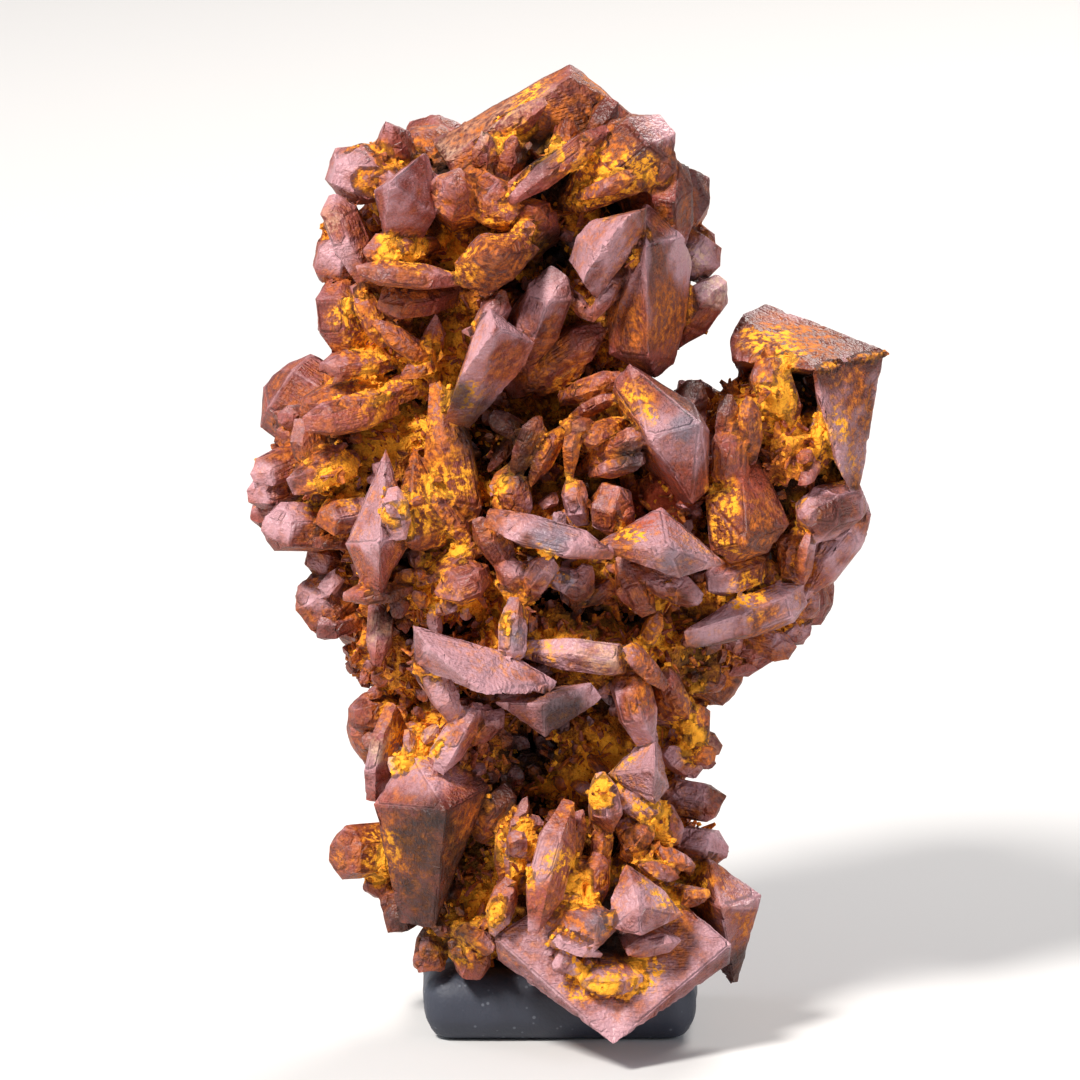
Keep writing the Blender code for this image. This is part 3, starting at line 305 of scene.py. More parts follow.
MIDDLE_BLOCKS = [
    # The large crystal right of the centre, lit above its girdle.
    [(6.8, 68.4, 13), (5.0, 66.4, 12.5), (8.6, 61.2, 18.5), (13.7, 62.5, 17.5), (14.7, 61.8, 13),
     (13.1, 54.5, 14.5), (14.7, 56, 12.5), (13.2, 64.5, 12), (8, 56, 1)],
    # The long wedge below it.
    [(3.0, 50.4, 18.5), (9.9, 54.3, 16), (16.4, 48.7, 17.5), (11.7, 47.3, 20), (8.4, 48.4, 20.5),
     (10.6, 50.3, 22.5), (10, 50, 8)],
]

ARM_BLOCKS = [
    # Roof and side wall of the large skeletal crystal, which is hollow between them.
    [(17.0, 71.0, 3), (18.3, 73.3, 0), (20.6, 74.4, -3), (32.0, 69.7, 4), (25.2, 67.9, 10), (21.5, 68.4, 8),
     (17.2, 69.0, 5), (24, 67, -7), (18, 68, -5)],
    [(32.0, 69.7, 4), (25.2, 67.9, 10), (25.4, 66.0, 9.5), (27.6, 58.5, 9), (29.4, 55.1, 6), (28.8, 56.5, 0),
     (31.2, 66, 0), (26, 62, -5)],
    # The crystal that bulges forward below the hollow.
    [(19.7, 59.0, 8), (18.0, 56.7, 13), (22.5, 52.6, 10.5), (20.5, 49.8, 12), (18.3, 50.7, 16.5),
     (15.0, 50.1, 13), (14.5, 55.2, 12.5), (17, 48.8, 12), (18, 53, 0)],
]

WAIST_BLOCKS = [
    # The bright roof-shaped crystal.
    [(-14.5, 42.6, 19.5), (-5.0, 39.8, 18.5), (-0.2, 36.9, 17.5), (-1.1, 35.9, 18.5), (-7.5, 35.8, 24),
     (-12.8, 40.2, 22.5), (-14.3, 38.6, 19), (-9, 39, 12), (-3, 37, 13)],
    # The chevron below it.
    [(-6.6, 35.0, 17), (-1.7, 34.8, 21.5), (-1.5, 31.6, 20), (3.0, 36.9, 18), (4.2, 35.3, 17), (-1, 36.6, 10),
     (-1, 33.5, 10)],
    # The grey pyramid at the right of the waist.
    [(9.5, 32.4, 13), (4.7, 27.8, 14), (9.3, 24.7, 17), (10.8, 26.4, 13), (9.3, 28.4, 18.5), (9, 28, 4)],
    # The big left crystal: a lit roof over a steep dark underside.
    [(-12.3, 32.0, 10), (-15.0, 30.2, 13), (-18.5, 24.8, 15), (-11.3, 24.3, 20), (-7.0, 26.5, 14),
     (-16.0, 12.9, 12), (-12.5, 12.3, 13.5), (-13, 24, 2)],
]

FOOT_BLOCKS = [
    # The pink plate among the small crystals of the dish.
    [(6.5, 19.0, 20), (5.0, 15.5, 21), (5.2, 12.5, 22.5), (8.0, 12.0, 23), (12.3, 13.8, 19), (10.3, 16.3, 19),
     (7.8, 15.0, 23.5), (8, 15, 12)],
    # The dark block beside it.
    [(-2.1, 14.9, 19), (0.5, 15.5, 18), (3.4, 15.4, 19), (6.5, 13.3, 21), (3.2, 10.2, 22.5), (0, 10.8, 21.5),
     (-1.3, 12, 20.5), (3.8, 13.8, 22.8), (2, 13, 12)],
    # The right crystal: a lit shoulder over a long dark point.
    [(14.9, 19.3, 9), (20.1, 15.5, 8), (19.8, 14.2, 9), (16, 14.4, 14), (17.5, 6.0, 8), (9, 18, 1)],
]

# The great dished crystal at the foot: its rhombus of rim corners, the points behind them,
# and the hollow that is cut into its face.
DISH_RIM = [(-6.5, 11.6, 17), (5.3, 1.1, 23), (17.0, 10.9, 16.5), (6.0, 20, 13)]
DISH_BEVEL = [(-6.2, 9.3, 15.5), (5.3, 1.9, 20), (16.9, 8.9, 15)]
DISH_BACK = [(-3, 13, 6), (5.2, 8.5, 12.6), (14, 12, 6), (6, 18, 3)]
DISH_HOLLOW_RIM = [(-2.8, 12.2, 24), (5.2, 5.6, 28), (13.2, 12.2, 24), (6.0, 20, 20)]
DISH_HOLLOW_FLOOR = [(0.5, 12.4, 17), (5.2, 8.6, 18.2), (10.2, 12.4, 16.5), (6.0, 17, 14)]

# Rough matrix between the crystals: centre and half sizes.
LUMPS = [
    ((-5, 83.5, -3), (14, 7.5, 10)),
    ((4, 76, -3), (9, 9, 9)),
    ((-12, 72, -2), (10, 8, 9)),
    ((-18, 59, -1), (10, 9, 8.5)),
    ((-3, 64.5, -5), (12, 8, 7)),
    ((-2, 55, -2), (14, 8, 13)),
    ((6, 51, 0), (10, 8, 13)),
    ((-11, 49, 1), (11, 8, 12)),
    ((21, 59, -1), (8.5, 9.5, 8)),
    ((18, 46, -1), (7.5, 6, 9)),
    ((-2, 41, 2), (15, 6, 12)),
    ((10, 41, 0), (7, 5, 8)),
    ((-14.5, 40.5, 0), (6.5, 5, 8)),
    ((2, 31, 0), (12, 7, 10)),
    ((-9, 31, 0), (8.5, 7, 12)),
    ((1, 20, 1), (13, 7, 13)),
    ((-7, 16, 2), (9, 5, 11)),
    ((0, 12.5, 0), (12, 6, 9.5)),
]

# Crystals of the back and the flanks: how many leave each lump, how far they reach out of it,
# and how broad they are.
BACK_COUNTS = [10, 7, 7, 7, 4, 6, 5, 5, 6, 6, 6, 3, 3, 7, 6, 8, 3, 0]
BACK_REACH = (4.0, 8.0)
BACK_WIDTH = (5.5, 9.5)
BACK_FLATTEN = (0.6, 0.9)
BACK_LEAN = 1.2
BACK_LEAN_ROOM = (0.5, 0.2, 0.5)
BACK_PUSH = 0.35
BACK_RISE = 0.75
BACK_GIRDLE = 0.42
BACK_BREAK = 0.06
BACK_ROOT = 0.5
BACK_SIDE_SHRINK = 0.66

GROUPS = (
    ("crown_crystals", CROWN_SPEARS, CROWN_BLOCKS),
    ("shoulder_crystals", SHOULDER_SPEARS, SHOULDER_BLOCKS),
    ("middle_crystals", MIDDLE_SPEARS, MIDDLE_BLOCKS),
    ("arm_crystals", ARM_SPEARS, ARM_BLOCKS),
    ("waist_crystals", WAIST_SPEARS, WAIST_BLOCKS),
    ("foot_crystals", FOOT_SPEARS, FOOT_BLOCKS),
)
PIECES = [group[0] for group in GROUPS] + ["high_back_crystals", "low_back_crystals"]
HIGH_BACK = 52.0

# The matrix between the crystals belongs to these groups, lump by lump.
LUMP_GROUPS = (
    ["crown_crystals"] * 2
    + ["shoulder_crystals"] * 2
    + ["middle_crystals"] * 3
    + ["shoulder_crystals"]
    + ["arm_crystals"] * 2
    + ["waist_crystals"] * 5
    + ["foot_crystals"] * 3
)
LUMP_SHRINK = 0.92
# How deep coarse and finer bumps are in the matrix, and the widths of its noise, in mm.
LUMP_BUMPS = (1.1, 0.5)
LUMP_NOISE = (3.4, 1.3)
HOLLOW_BUMPS = 0.8
MATRIX_OWNER = -2

# How far the grid reaches past the crystals, and how far from each its distance is worked out, in mm.
GRID_MARGIN = 1.5
REACH = 2.5
FAR = 4.0
JOIN_OVERLAP = 1.0
SMALLEST_BODY = 2.0
# Points this deep inside the specimen are merged into steps of this size.
HIDDEN_DEPTH = 0.6
HIDDEN_STEP = 1.7
CELLS_PER_SIDE = 1000
UNMERGED = 10**9
# Half widths of the boxes in which the share of solid is taken, for edges and for hollows.
NEAR_REACH = 1.1
FAR_REACH = 3.6

# A crystal's six girdle corners lie at both ends of a short straight body, as shares of its length.
BODY_SHIFTS = (-0.18, 0.20)
BROKEN_SHARE = (-0.02, 0.07)
# How many smaller crystals grow along a larger one, and the width from which one has any.
PARTNER_ODDS = (0.25, 0.45, 0.30)
PARTNER_WIDTH = 2.4
PARTNER_LEAN = (-0.10, 0.10)
PARTNER_OFFSET = (0.20, 0.36)
PARTNER_START = (0.08, 0.30)
PARTNER_LENGTH = (0.45, 0.70)
PARTNER_SIZE = (0.45, 0.65)
PARTNER_BREAK = (0, 0.06)
PARTNER_DEPTH = 0.8
SMALL_GIRDLE = 0.4
# The arm's roof and wall are thin, and this much thicker on each side than in the frame.
THIN_WALL_GROWTH = 0.15
# Longer crystals that lie along the back, in mm.
STRAYS_PER_LUMP = 9
STRAY_LIFT = 1.2
STRAY_LENGTH = (8.0, 15.0)
STRAY_WIDTH = (2.2, 4.2)
STRAY_FLATTEN = (0.6, 0.95)
STRAY_TURN = (0.1, 0.9)
STRAY_RISE = (-0.8, 0.8)
STRAY_ACROSS = 0.5
STRAY_OUT = (-0.1, 0.5)
STRAY_GIRDLE = 0.45
STRAY_BREAK = (0, 0.1)
# Small crystals in the crevices, in mm and as shares.
FRAGMENT_LENGTH = (1.5, 5.0)
FRAGMENT_WIDTH = (0.26, 0.52)
FRAGMENT_LEAN = 0.75
FRAGMENT_FLATTEN = (0.55, 1)
FRAGMENT_SHORTNESS = 1.6
FRAGMENT_TIP = (0.25, 0.60)
FRAGMENT_ROOT = 0.40
FRAGMENT_BREAK = (0, 0.12)
FRAGMENT_STAIN = (0.3, 1.0)
FRAGMENT_FILL = 0.25
CREVICE_FILL = 0.25
# How many small faces are broken off a crystal, and how deep.
CHIPS = (2, 4)
CHIP_DEPTH = (0.05, 0.40)
BREAK_LEAN = 0.5
STAIN_MOST = 0.6
# Layers of noise that spread the powder and break up its crust: share and width in mm.
POWDER_DRIFT = ((0.6, 6.0), (0.5, 2.2))
POWDER_RANGE = (-0.15, 0.65)
CRUST_GRAINS = ((0.55, 0.85), (0.75, 1.9))
CRUST_SUNK = 0.35
# How far from a crystal's faces, in steps of the grid, points are pulled onto its planes.
PULL_FROM = 0.75
PULL_OVER = 0.25
PULL_MOST = 0.9
PULL_DAMPING = 0.02
ON_FACE = 0.6
BARE_POWDER = 0.12

NO_RIDGE = 3.0
SHARP_ANGLE = math.radians(32)
# Where pale dust and painted highlight go: on faces that look up, and to the front left or to the back,
# roughly towards the key and rim lamps.
DUST_AND_HIGHLIGHT_FROM = ((-0.28, -0.30, 0.91), (0.45, 0.75, 0.50))
GROOVE_STRETCH = 0.86
PANEL_SHARE = 0.06
# Widths of the noise in grooves, swells and pits, in mm.
GROOVE_WIDTH = 0.62
SWELL_WIDTH = 2.2
SWELL_DEPTH = 0.04
PIT_WIDTH = 0.9

# The camera is aimed at this place and sees this far to each side of it, in metres.
VIEW_CENTRE = (-2, 51, 0)
CAMERA_DISTANCE = 1.2
HALF_VIEW = 0.054
# Soft lamps: name, place, width and power in metres and watts, and colour.
LIGHT_AIM = 0.05
WORLD_STRENGTH = 0.27
LIGHTS = (
    ("key", -0.38, -0.50, 0.72, 0.20, 13.0, (1.0, 0.97, 0.93)),
    ("fill", 0.70, -0.60, 0.35, 0.60, 2.8, (0.82, 0.88, 1.0)),
    ("rim", 0.25, 0.60, 0.60, 0.40, 6.0, (1.0, 0.96, 0.92)),
    ("side", -0.80, 0.20, 0.35, 0.50, 2.0, (0.82, 0.88, 1.0)),
)


# Where each of these looks shows, as seen from the front: across, up and radius.
SPOTS = {
    "ochre": [
        (-3, 95, 1.8), (-4.3, 92, 1.5), (-6.3, 90, 1.2), (-0.8, 89, 1.4), (3, 87, 2.2), (6, 86.5, 1.8),
        (7.5, 88, 1.6), (2.5, 84.5, 1.8), (4, 83.5, 1.5), (-6.3, 82.5, 1.6), (-4, 81, 1.4),
        (-10, 78.2, 1.8), (-14, 78.8, 1.8), (-10.5, 80.5, 1.2), (-17, 79.5, 1.6), (-2, 79.2, 1.2),
        (-21, 73, 2), (-19.5, 71, 1.8), (-18, 68, 2.2), (-13, 67, 2), (-18.8, 66.3, 2.2), (-12, 70, 1.8),
        (-10.5, 65.5, 2), (-15, 62.5, 2.4), (-18, 61, 2.4), (-23, 57, 1.8), (-21.5, 56, 1.8),
        (-24, 55.5, 1.8), (-14.5, 54, 2), (-14, 52.5, 1.6), (-12, 56, 2), (-9, 57, 1.8), (-10.5, 50.5, 1.8),
        (-12, 45, 2.2), (-13, 47.5, 1.8), (7, 65, 1.8), (6.5, 64, 1.6), (8, 63, 1.4), (21, 70, 2.2),
        (22, 69, 2), (18.5, 71, 1.6), (20, 65, 2.2), (21.5, 64, 2.2), (19, 63.5, 1.6), (26.5, 62, 1.8),
        (26.5, 61, 1.8), (27, 58, 1.8), (16, 55, 2), (15.5, 53.5, 2), (16.5, 51, 2), (6.5, 51, 1.5),
        (23.5, 53.5, 1.8), (18.5, 45.5, 2.2), (19, 45, 1.8), (0, 57, 1.6), (-6, 56, 1.6), (-2, 49, 1.5),
        (-6.5, 43, 1.8), (-10, 44.5, 1.6), (-1, 40.5, 1.6), (8, 41, 2), (10, 42, 1.8), (-16.5, 33.5, 2.2),
        (-15, 31.5, 2.2), (-13, 31, 2), (-16, 29.5, 1.6), (4, 28, 2.2), (5, 29.5, 2), (3, 26, 1.8),
        (13.5, 35, 1.8), (12.5, 32, 2), (13, 30.5, 2), (-18, 20.5, 1.8), (-18.5, 18, 1.8), (-8, 14, 2.4),
        (-10, 12, 2.4), (-9.5, 10.5, 2), (-6, 20, 1.5), (-4, 21, 1.5), (0, 19, 1.5), (2, 16, 1.5),
        (13, 16.5, 2), (14, 17, 1.8), (9, 18, 1.5), (10.5, 15, 1.5), (8.5, 9, 1.8), (2, 8, 1.5),
        (1.5, 6.5, 1.6), (4.5, 7.5, 1.8), (8, 7.5, 1.5), (-4, 17.5, 1.5), (1, 25, 1.5), (9, 24, 1.8),
        (-1.5, 26, 1.6), (5.5, 17.5, 1.5),
    ],
    # Lilac: frosted faces, and painted highlight where faces catch the light.
    "lilac": [
        (-15, 84.5, 3.5), (-21, 87, 2.5), (4.5, 79, 4.5), (-7, 71, 4), (-8.5, 66, 3), (-1.8, 74.5, 2.5),
        (29.5, 65.5, 6), (30, 58, 4.5), (12.5, 79, 3), (15, 76, 2.5), (-18, 52.5, 4), (-18.5, 57, 2.5),
        (-1, 50.5, 5), (11, 50.5, 4), (11, 60.5, 4), (-9, 39, 6), (-4, 37.5, 5), (-1.5, 33.5, 4),
        (3, 35, 3), (2, 39.5, 4), (8.5, 30, 4), (7.5, 26, 3), (4, 25.5, 2.5), (-13.5, 28, 5),
        (-17.5, 28, 3), (-2.5, 20, 3), (8, 14.5, 3.5), (0, 8, 5), (5.2, 3, 4.5), (12, 7, 5), (-4.5, 11, 3),
        (15.5, 11, 3), (-29.5, 56, 2.5), (-27.5, 53, 2.5), (26.5, 54.5, 3), (27.5, 50, 3), (22.5, 44, 3.5),
        (16, 43.5, 3.5), (-24, 46, 2.5), (-0.5, 47.5, 3), (-22, 79, 2), (29, 70, 2.5), (13.5, 26, 2.5),
        (14.5, 21, 2.5), (9, 90.5, 2.5), (18, 15.5, 2.5),
    ],
    # Cream: pale flakes, and along the crown's upper left bevel a painted highlight.
    "cream": [
        (-8.5, 92, 2.2), (-5.5, 93.6, 2.2), (-2.5, 95.4, 1.8), (-11.2, 90.4, 1.8), (15.4, 75.6, 1.6),
        (1.6, 60.5, 1.6), (-18, 42, 1.6), (-17.6, 30, 1.6), (9.2, 42, 1.4), (4, 39.8, 2.5),
        (-13.5, 31.5, 1.5), (14.5, 30, 1.5), (-23, 82.5, 1.2), (13.5, 79, 1.2),
    ],
    "steel": [
        (4, 13, 1.5), (-4.6, 41.6, 1.5), (-1.3, 51.4, 2), (11.3, 48.7, 1.7), (12, 62, 1.5), (-6, 45, 1.2),
        (0.5, 47, 1.3),
    ],
    "red": [
        (10.5, 55.5, 3.2), (8, 53.5, 1.6), (12.5, 57, 1.6), (19, 57, 1.5),
    ],
    # Parts that are rusty all over.
    "rusty": [
        (-15, 66, 8), (-9, 57, 8), (-20, 60, 6), (1, 60, 7), (6, 56, 6), (0, 67, 4), (20, 63, 5),
        (16, 53, 4), (2, 45, 6), (9, 41, 6), (-4, 42, 6), (-13, 33, 5), (12, 32, 6), (3, 27, 6),
        (-8, 20, 5), (0, 19, 6), (8, 18, 6), (-8, 12, 5), (4, 10, 4), (-17, 75, 4), (-9, 80, 3), (3, 85, 4),
        (-17, 19, 3), (9, 73, 3), (22, 46, 5), (-22, 54, 4), (4, 97, 2), (25, 71, 3),
    ],
    # Flanks and clefts painted nearly black: painted shade and shadow.
    "dark": [
        (-13.5, 22, 3.5), (-13, 17, 4), (-12, 12.5, 3.5), (-9.5, 19, 3), (-3, 29.5, 3.5), (-6.5, 61.5, 4),
        (-4, 58, 2), (0, 34, 2.5), (13.5, 38.5, 2.5), (14.5, 66, 3), (-1, 79, 2.5), (-2.5, 89, 2),
        (2.5, 44, 2.5), (-15.5, 13, 3), (18.5, 8, 2.5), (-6.5, 26, 2.5), (-10, 65, 1.5), (-17, 44.5, 2),
        (7, 59, 1.5),
    ],
    # Faces that are bare of dust, and dark red.
    "bare": [
        (25, 71, 4.5), (21, 72, 3.5), (30, 70, 2.5), (-11, 23, 3), (3, 92, 3), (7, 89, 3), (13, 86, 3),
        (13, 84, 2.5), (-6, 77, 3), (20, 51, 2.5), (26.5, 54, 2), (17, 31, 2.5), (16, 26, 2),
    ],
}
# Nodules of thin walls, like a sponge: group, centre and half sizes.
NODULES = [
    ("arm_crystals", (22.6, 60.0, 6.5), (2.8, 3.6, 3.4)),
    ("middle_crystals", (10.5, 55.5, 8.5), (3.0, 2.6, 3.0)),
]
NODULE_DEPTH = 1.6
NODULE_WALL = 0.22
# Deep hollows in the matrix: centre and half sizes.
HOLLOWS = [
    ((-7.2, 61.2, 8), (3.4, 5.0, 9)), ((-2.8, 29, 12), (3.2, 3.4, 10)), ((-12.6, 18, 9), (2.6, 6, 8)),
    ((-1.5, 78.5, 7), (3.0, 3.8, 8)), ((-2.4, 89, 6), (2.2, 2.2, 7)), ((-14, 79, 6), (2.4, 2.0, 7)),
    ((2.0, 43.5, 13), (3.0, 1.8, 6)), ((-9.5, 47.5, 13), (2.0, 2.4, 6)), ((14.0, 46.5, 8), (3.0, 1.6, 6)),
    ((6.5, 59.5, 9), (2.0, 2.5, 6)), ((-17, 65.5, 6), (2.4, 1.6, 6)), ((7.5, 36.0, 12), (2.4, 2.0, 6)),
    ((-6, 34.5, 13), (2.6, 1.6, 6)), ((15.5, 60.0, 6), (1.6, 4.0, 6)),
]
SPOT_MAP_STEP = 0.25
SPOT_MAP_ACROSS = (-36, 36)
SPOT_MAP_UP = (-4, 104)
SPOT_FADE = (1.5, 0.4)
SPOT_FRONT = (-1.0, 3.0)
SPOT_EDGE_NOISE = 0.45
HASH_PRIMES = (73856093, 19349663, 83492791)
HASH_SEED = 2654435761
HASH_MIX = 2246822519
HASH_HALF = 32767.5

# Looks of the small solids: name, lowest and highest.
# Their near and far set how much stain, and how much painted shade of the hollows, falls on them.
BUD_LOOKS = (
    ("tint", 0, 1), ("frost", 0, 1), ("stain", 0, 1),
    ("ridge", 0.3, 0.9), ("near", 0.4, 0.6), ("far", 0.4, 0.6),
)
CRUMB_LOOKS = (
    ("tint", 0, 1), ("powder", 1, 1), ("ochre", 0, 1),
    ("stain", 1, 1), ("near", 0.5, 0.6), ("far", 0.4, 0.6),
)
# Where they may lie: least powder, most solid around, and how far off the surface has to be open, in mm.
BUD_GROUND = (0.3, 0.80)
CRUMB_GROUND = (0.10, 0.85)
OPEN_ABOVE = (0.45, 0.2)
BUD_WIDTHS = (0.45, 1.0)
CRUMB_WIDTHS = (0.5, 1.6)

# The base: how far its edges are rounded and the step of its skin, in metres, then its dents: depth
# and width in mm, and seed.
BASE_ROUNDING = 0.0030
BASE_STEP = 0.45 * MM
BASE_DENTS = ((0.22, 7.0, 21), (0.05, 1.4, 22))
BASE_SUNK = 0.28
FLOOR_RADIUS = 4
SKY_COLOUR = (0.86, 0.88, 0.92, 1)

DEFAULTS = {
    "mauve": (0.310, 0.064, 0.050),
    "maroon": (0.100, 0.018, 0.012),
    "lilac": (0.500, 0.262, 0.290),
    "steel": (0.160, 0.140, 0.175),
    "rust": (0.560, 0.130, 0.010),
    "brick": (0.460, 0.080, 0.030),
    "ochre": (0.980, 0.400, 0.022),
    "cream": (0.680, 0.450, 0.320),
    "slate": (0.022, 0.025, 0.037),
    "floor": (0.64, 0.63, 0.62),
}


def place(across, up, forward):
    """A point of the specimen, in mm, from where it is seen and how far forward it lies."""
    height = (up - SEEN_FLOOR_UP + forward * math.sin(VIEW_TILT)) / math.cos(VIEW_TILT)
    return Vector((across, -forward, height))


def buried_in(point, lump):
    """How far out a point lies from the middle of a lump, where 1 is the lump's skin."""
    centre, (wide, tall, deep) = lump
    offset = point - place(*centre)
    return Vector((offset.x / wide, offset.y / deep, offset.z / tall)).length


def root_for(middle, inner):
    """Where a crystal is rooted in the matrix: straight behind it, or else in the nearest lump."""
    if min(buried_in(inner, lump) for lump in LUMPS) < BURIED_SHARE:
        return None
    backwards = Vector((0, math.cos(VIEW_TILT), -math.sin(VIEW_TILT)))
    for step in range(ROOT_STEPS):
        probe = middle + backwards * step
        if min(buried_in(probe, lump) for lump in LUMPS) < BURIED_SHARE:
            return probe
    nearest = min(LUMPS, key=lambda lump: buried_in(inner, lump))
    return place(*nearest[0]).lerp(inner, BURIED_SHARE / buried_in(inner, nearest))


def spear_corners(outer, inner, width, depth, turn, girdle, rng):
    """Corners of a crystal with a point at each end, a six-sided girdle and short chisel edges."""
    axis = inner - outer
    length = axis.length
    axis.normalize()
    towards_viewer = Vector((0, -math.cos(VIEW_TILT), math.sin(VIEW_TILT)))
    reference = towards_viewer if abs(axis.dot(towards_viewer)) < FACING_LIMIT else Vector((0, 0, 1))
    side = axis.cross(reference).normalized()
    side = Matrix.Rotation(math.radians(turn), 3, axis) @ side
    front = axis.cross(side)
    corners = []
    for corner in range(6):
        angle = math.radians(60 * corner)
        wander = 1 + rng.uniform(-CORNER_WANDER, CORNER_WANDER)
        along = girdle * length * (1 + rng.uniform(-GIRDLE_WANDER, GIRDLE_WANDER))
        across = side * (0.5 * width * math.cos(angle) * wander)
        out = across + front * (0.5 * depth * math.sin(angle) * wander)
        corners += [
            outer + axis * (along + shift * length) + out * GIRDLE_SHRINK for shift in BODY_SHIFTS
        ]
    for end in (outer, inner):
        chisel = side * (0.5 * width * rng.uniform(*CHISEL_SHARE))
        corners += [end + chisel, end - chisel]
    return corners


def hull_planes(corners):
    """Outward normals and offsets of the planes that bound the convex solid with these corners."""
    bm = bmesh.new()
    for corner in corners:
        bm.verts.new(corner)
    bmesh.ops.convex_hull(bm, input=bm.verts)
    middle = sum((Vector(corner) for corner in corners), Vector()) / len(corners)
    planes = {}
    for face in bm.faces:
        if face.calc_area() < SMALLEST_FACE:
            continue
        normal = face.normal.copy()
        face_middle = face.calc_center_median()
        if normal.dot(face_middle - middle) < 0:
            normal.negate()
        key = tuple(round(value, 2) for value in normal)
        planes[key] = (*normal, normal.dot(face_middle))
    bm.free()
    table = np.array(list(planes.values()), dtype=np.float32)
    return table[:, :3], table[:, 3]


class Crystal:
    """One crystal: its planes, its room, its long axis and its own look."""

    def __init__(self, group, corners, rng, axis=None, hollow=None, broken=0.0):
        self.group = group
        self.normals, self.offsets = hull_planes(corners)
        if broken:
            self.break_tip(corners, axis, broken, rng)
        for _ in range(rng.randint(*CHIPS)):
            self.cut(corners, Vector([rng.gauss(0, 1) for _ in range(3)]), rng.uniform(*CHIP_DEPTH))
        points = np.array([tuple(corner) for corner in corners], dtype=np.float32)
        self.low = points.min(axis=0)
        self.high = points.max(axis=0)
        spread = points - points.mean(axis=0)
        if axis is None:
            axis = np.linalg.svd(spread, full_matrices=False)[2][0]
        self.axis = np.array(axis, dtype=np.float32) / np.linalg.norm(axis)
        self.hollow = hull_planes(hollow) if hollow else None
        self.tint = rng.random()
        self.frosting = rng.random()
        self.stain = STAIN_MOST * rng.random() ** 2
        self.seed = rng.randrange(1 << 16)

    def break_tip(self, corners, axis, broken, rng):
        """Cut a slanting face across the outer tip."""
        lean = Vector([rng.uniform(-BREAK_LEAN, BREAK_LEAN) for _ in range(3)])
        self.cut(corners, lean - Vector(axis).normalized(), broken)

    def cut(self, corners, direction, depth):
        """Cut a flat face square to a direction, this deep from the farthest corner."""
        normal = direction.normalized()
        reach = max(normal.dot(corner) for corner in corners) - depth
        self.normals = np.vstack([self.normals, np.array(normal, dtype=np.float32)])
        self.offsets = np.append(self.offsets, np.float32(reach))


def partners(group, tips, width, depth, turn, look):
    """Smaller crystals that have grown along the side of a larger one, nearly in line with it."""
    axis = tips[1] - tips[0]
    length = axis.length
    axis.normalize()
    found = []
    for _ in range(look.choices((0, 1, 2), PARTNER_ODDS)[0] if width > PARTNER_WIDTH else 0):
        sideways = axis.cross(Vector([look.uniform(-1, 1) for _ in range(3)])).normalized()
        lean = sideways * look.uniform(*PARTNER_LEAN)
        offset = sideways * (0.5 * (width + depth) * look.uniform(*PARTNER_OFFSET))
        start = tips[0] + axis * (length * look.uniform(*PARTNER_START)) + offset
        end = start + (axis + lean).normalized() * (length * look.uniform(*PARTNER_LENGTH))
        slim, flat = width * look.uniform(*PARTNER_SIZE), depth * look.uniform(*PARTNER_SIZE)
        corners = spear_corners(start, end, slim, flat, turn, SMALL_GIRDLE, look)
        broken = look.uniform(*PARTNER_BREAK) * length
        found.append(Crystal(group, corners, look, axis=end - start, broken=broken))
    return found


def grow_crystals():
    """Every crystal of the specimen, in a fixed order of seeded random draws."""
    rng = random.Random(GROWTH_SEED)
    look = random.Random(GROWTH_SEED + 1)
    crystals = []
    for group, spears, blocks in GROUPS:
        for outer, inner, width, depth, turn, girdle in spears:
            tips = place(*outer), place(*inner)
            corners = spear_corners(*tips, width, depth, turn, girdle, rng)
            root = root_for(tips[0].lerp(tips[1], 0.5), tips[1])
            if root:
                corners.append(root)
            broken = look.uniform(*BROKEN_SHARE) * (tips[1] - tips[0]).length
            crystals.append(Crystal(group, corners, look, axis=tips[1] - tips[0], broken=broken))
            crystals += partners(group, tips, width, depth, turn, look)
        for corners in blocks:
            crystals.append(Crystal(group, [place(*corner) for corner in corners], look))
            if group == "arm_crystals":
                crystals[-1].offsets += THIN_WALL_GROWTH
    dish = [place(*corner) for corner in DISH_RIM + DISH_BEVEL + DISH_BACK]
    hollow = [place(*corner) for corner in DISH_HOLLOW_RIM + DISH_HOLLOW_FLOOR]
    crystals.append(Crystal("foot_crystals", dish, look, hollow=hollow))
    crystals += back_crystals(rng, look)
    return crystals


def back_crystals(rng, look):
    """Crystals that leave the matrix backwards, each about square to the lump it grows from."""
    crystals = []
    golden_turn = math.pi * (3 - math.sqrt(5))
    for lump, count in enumerate(BACK_COUNTS):
        centre, sizes = LUMPS[lump]
        for number in range(count):
            rise = 1 - 2 * (number + 0.5) / count
            turn = golden_turn * (number + lump)
            ring = math.sqrt(1 - rise * rise)
            backwards = BACK_PUSH + abs(ring * math.sin(turn))
            direction = Vector((ring * math.cos(turn), backwards, BACK_RISE * rise)).normalized()
            wide, tall, deep = sizes
            start = place(*centre)
            skin = Vector((direction.x * wide * BACK_SIDE_SHRINK, direction.y * deep, direction.z * tall))
            reach = rng.uniform(*BACK_REACH)
            lean = Vector([rng.uniform(-most, most) for most in BACK_LEAN_ROOM])
            outward = (direction + BACK_LEAN * lean).normalized()
            width = rng.uniform(*BACK_WIDTH)
            tips = start + skin + outward * reach, start + skin * BACK_ROOT
            flat, spin = width * rng.uniform(*BACK_FLATTEN), rng.uniform(*TURNS)
            corners = spear_corners(*tips, width, flat, spin, BACK_GIRDLE, rng)
            group = "high_back_crystals" if centre[1] > HIGH_BACK else "low_back_crystals"
            crystals.append(Crystal(group, corners, look, axis=tips[1] - tips[0], broken=BACK_BREAK * reach))
            crystals += partners(group, tips, width, PARTNER_DEPTH * width, 0, look)
        crystals += stray_crystals(group, centre, sizes, look)
    return crystals


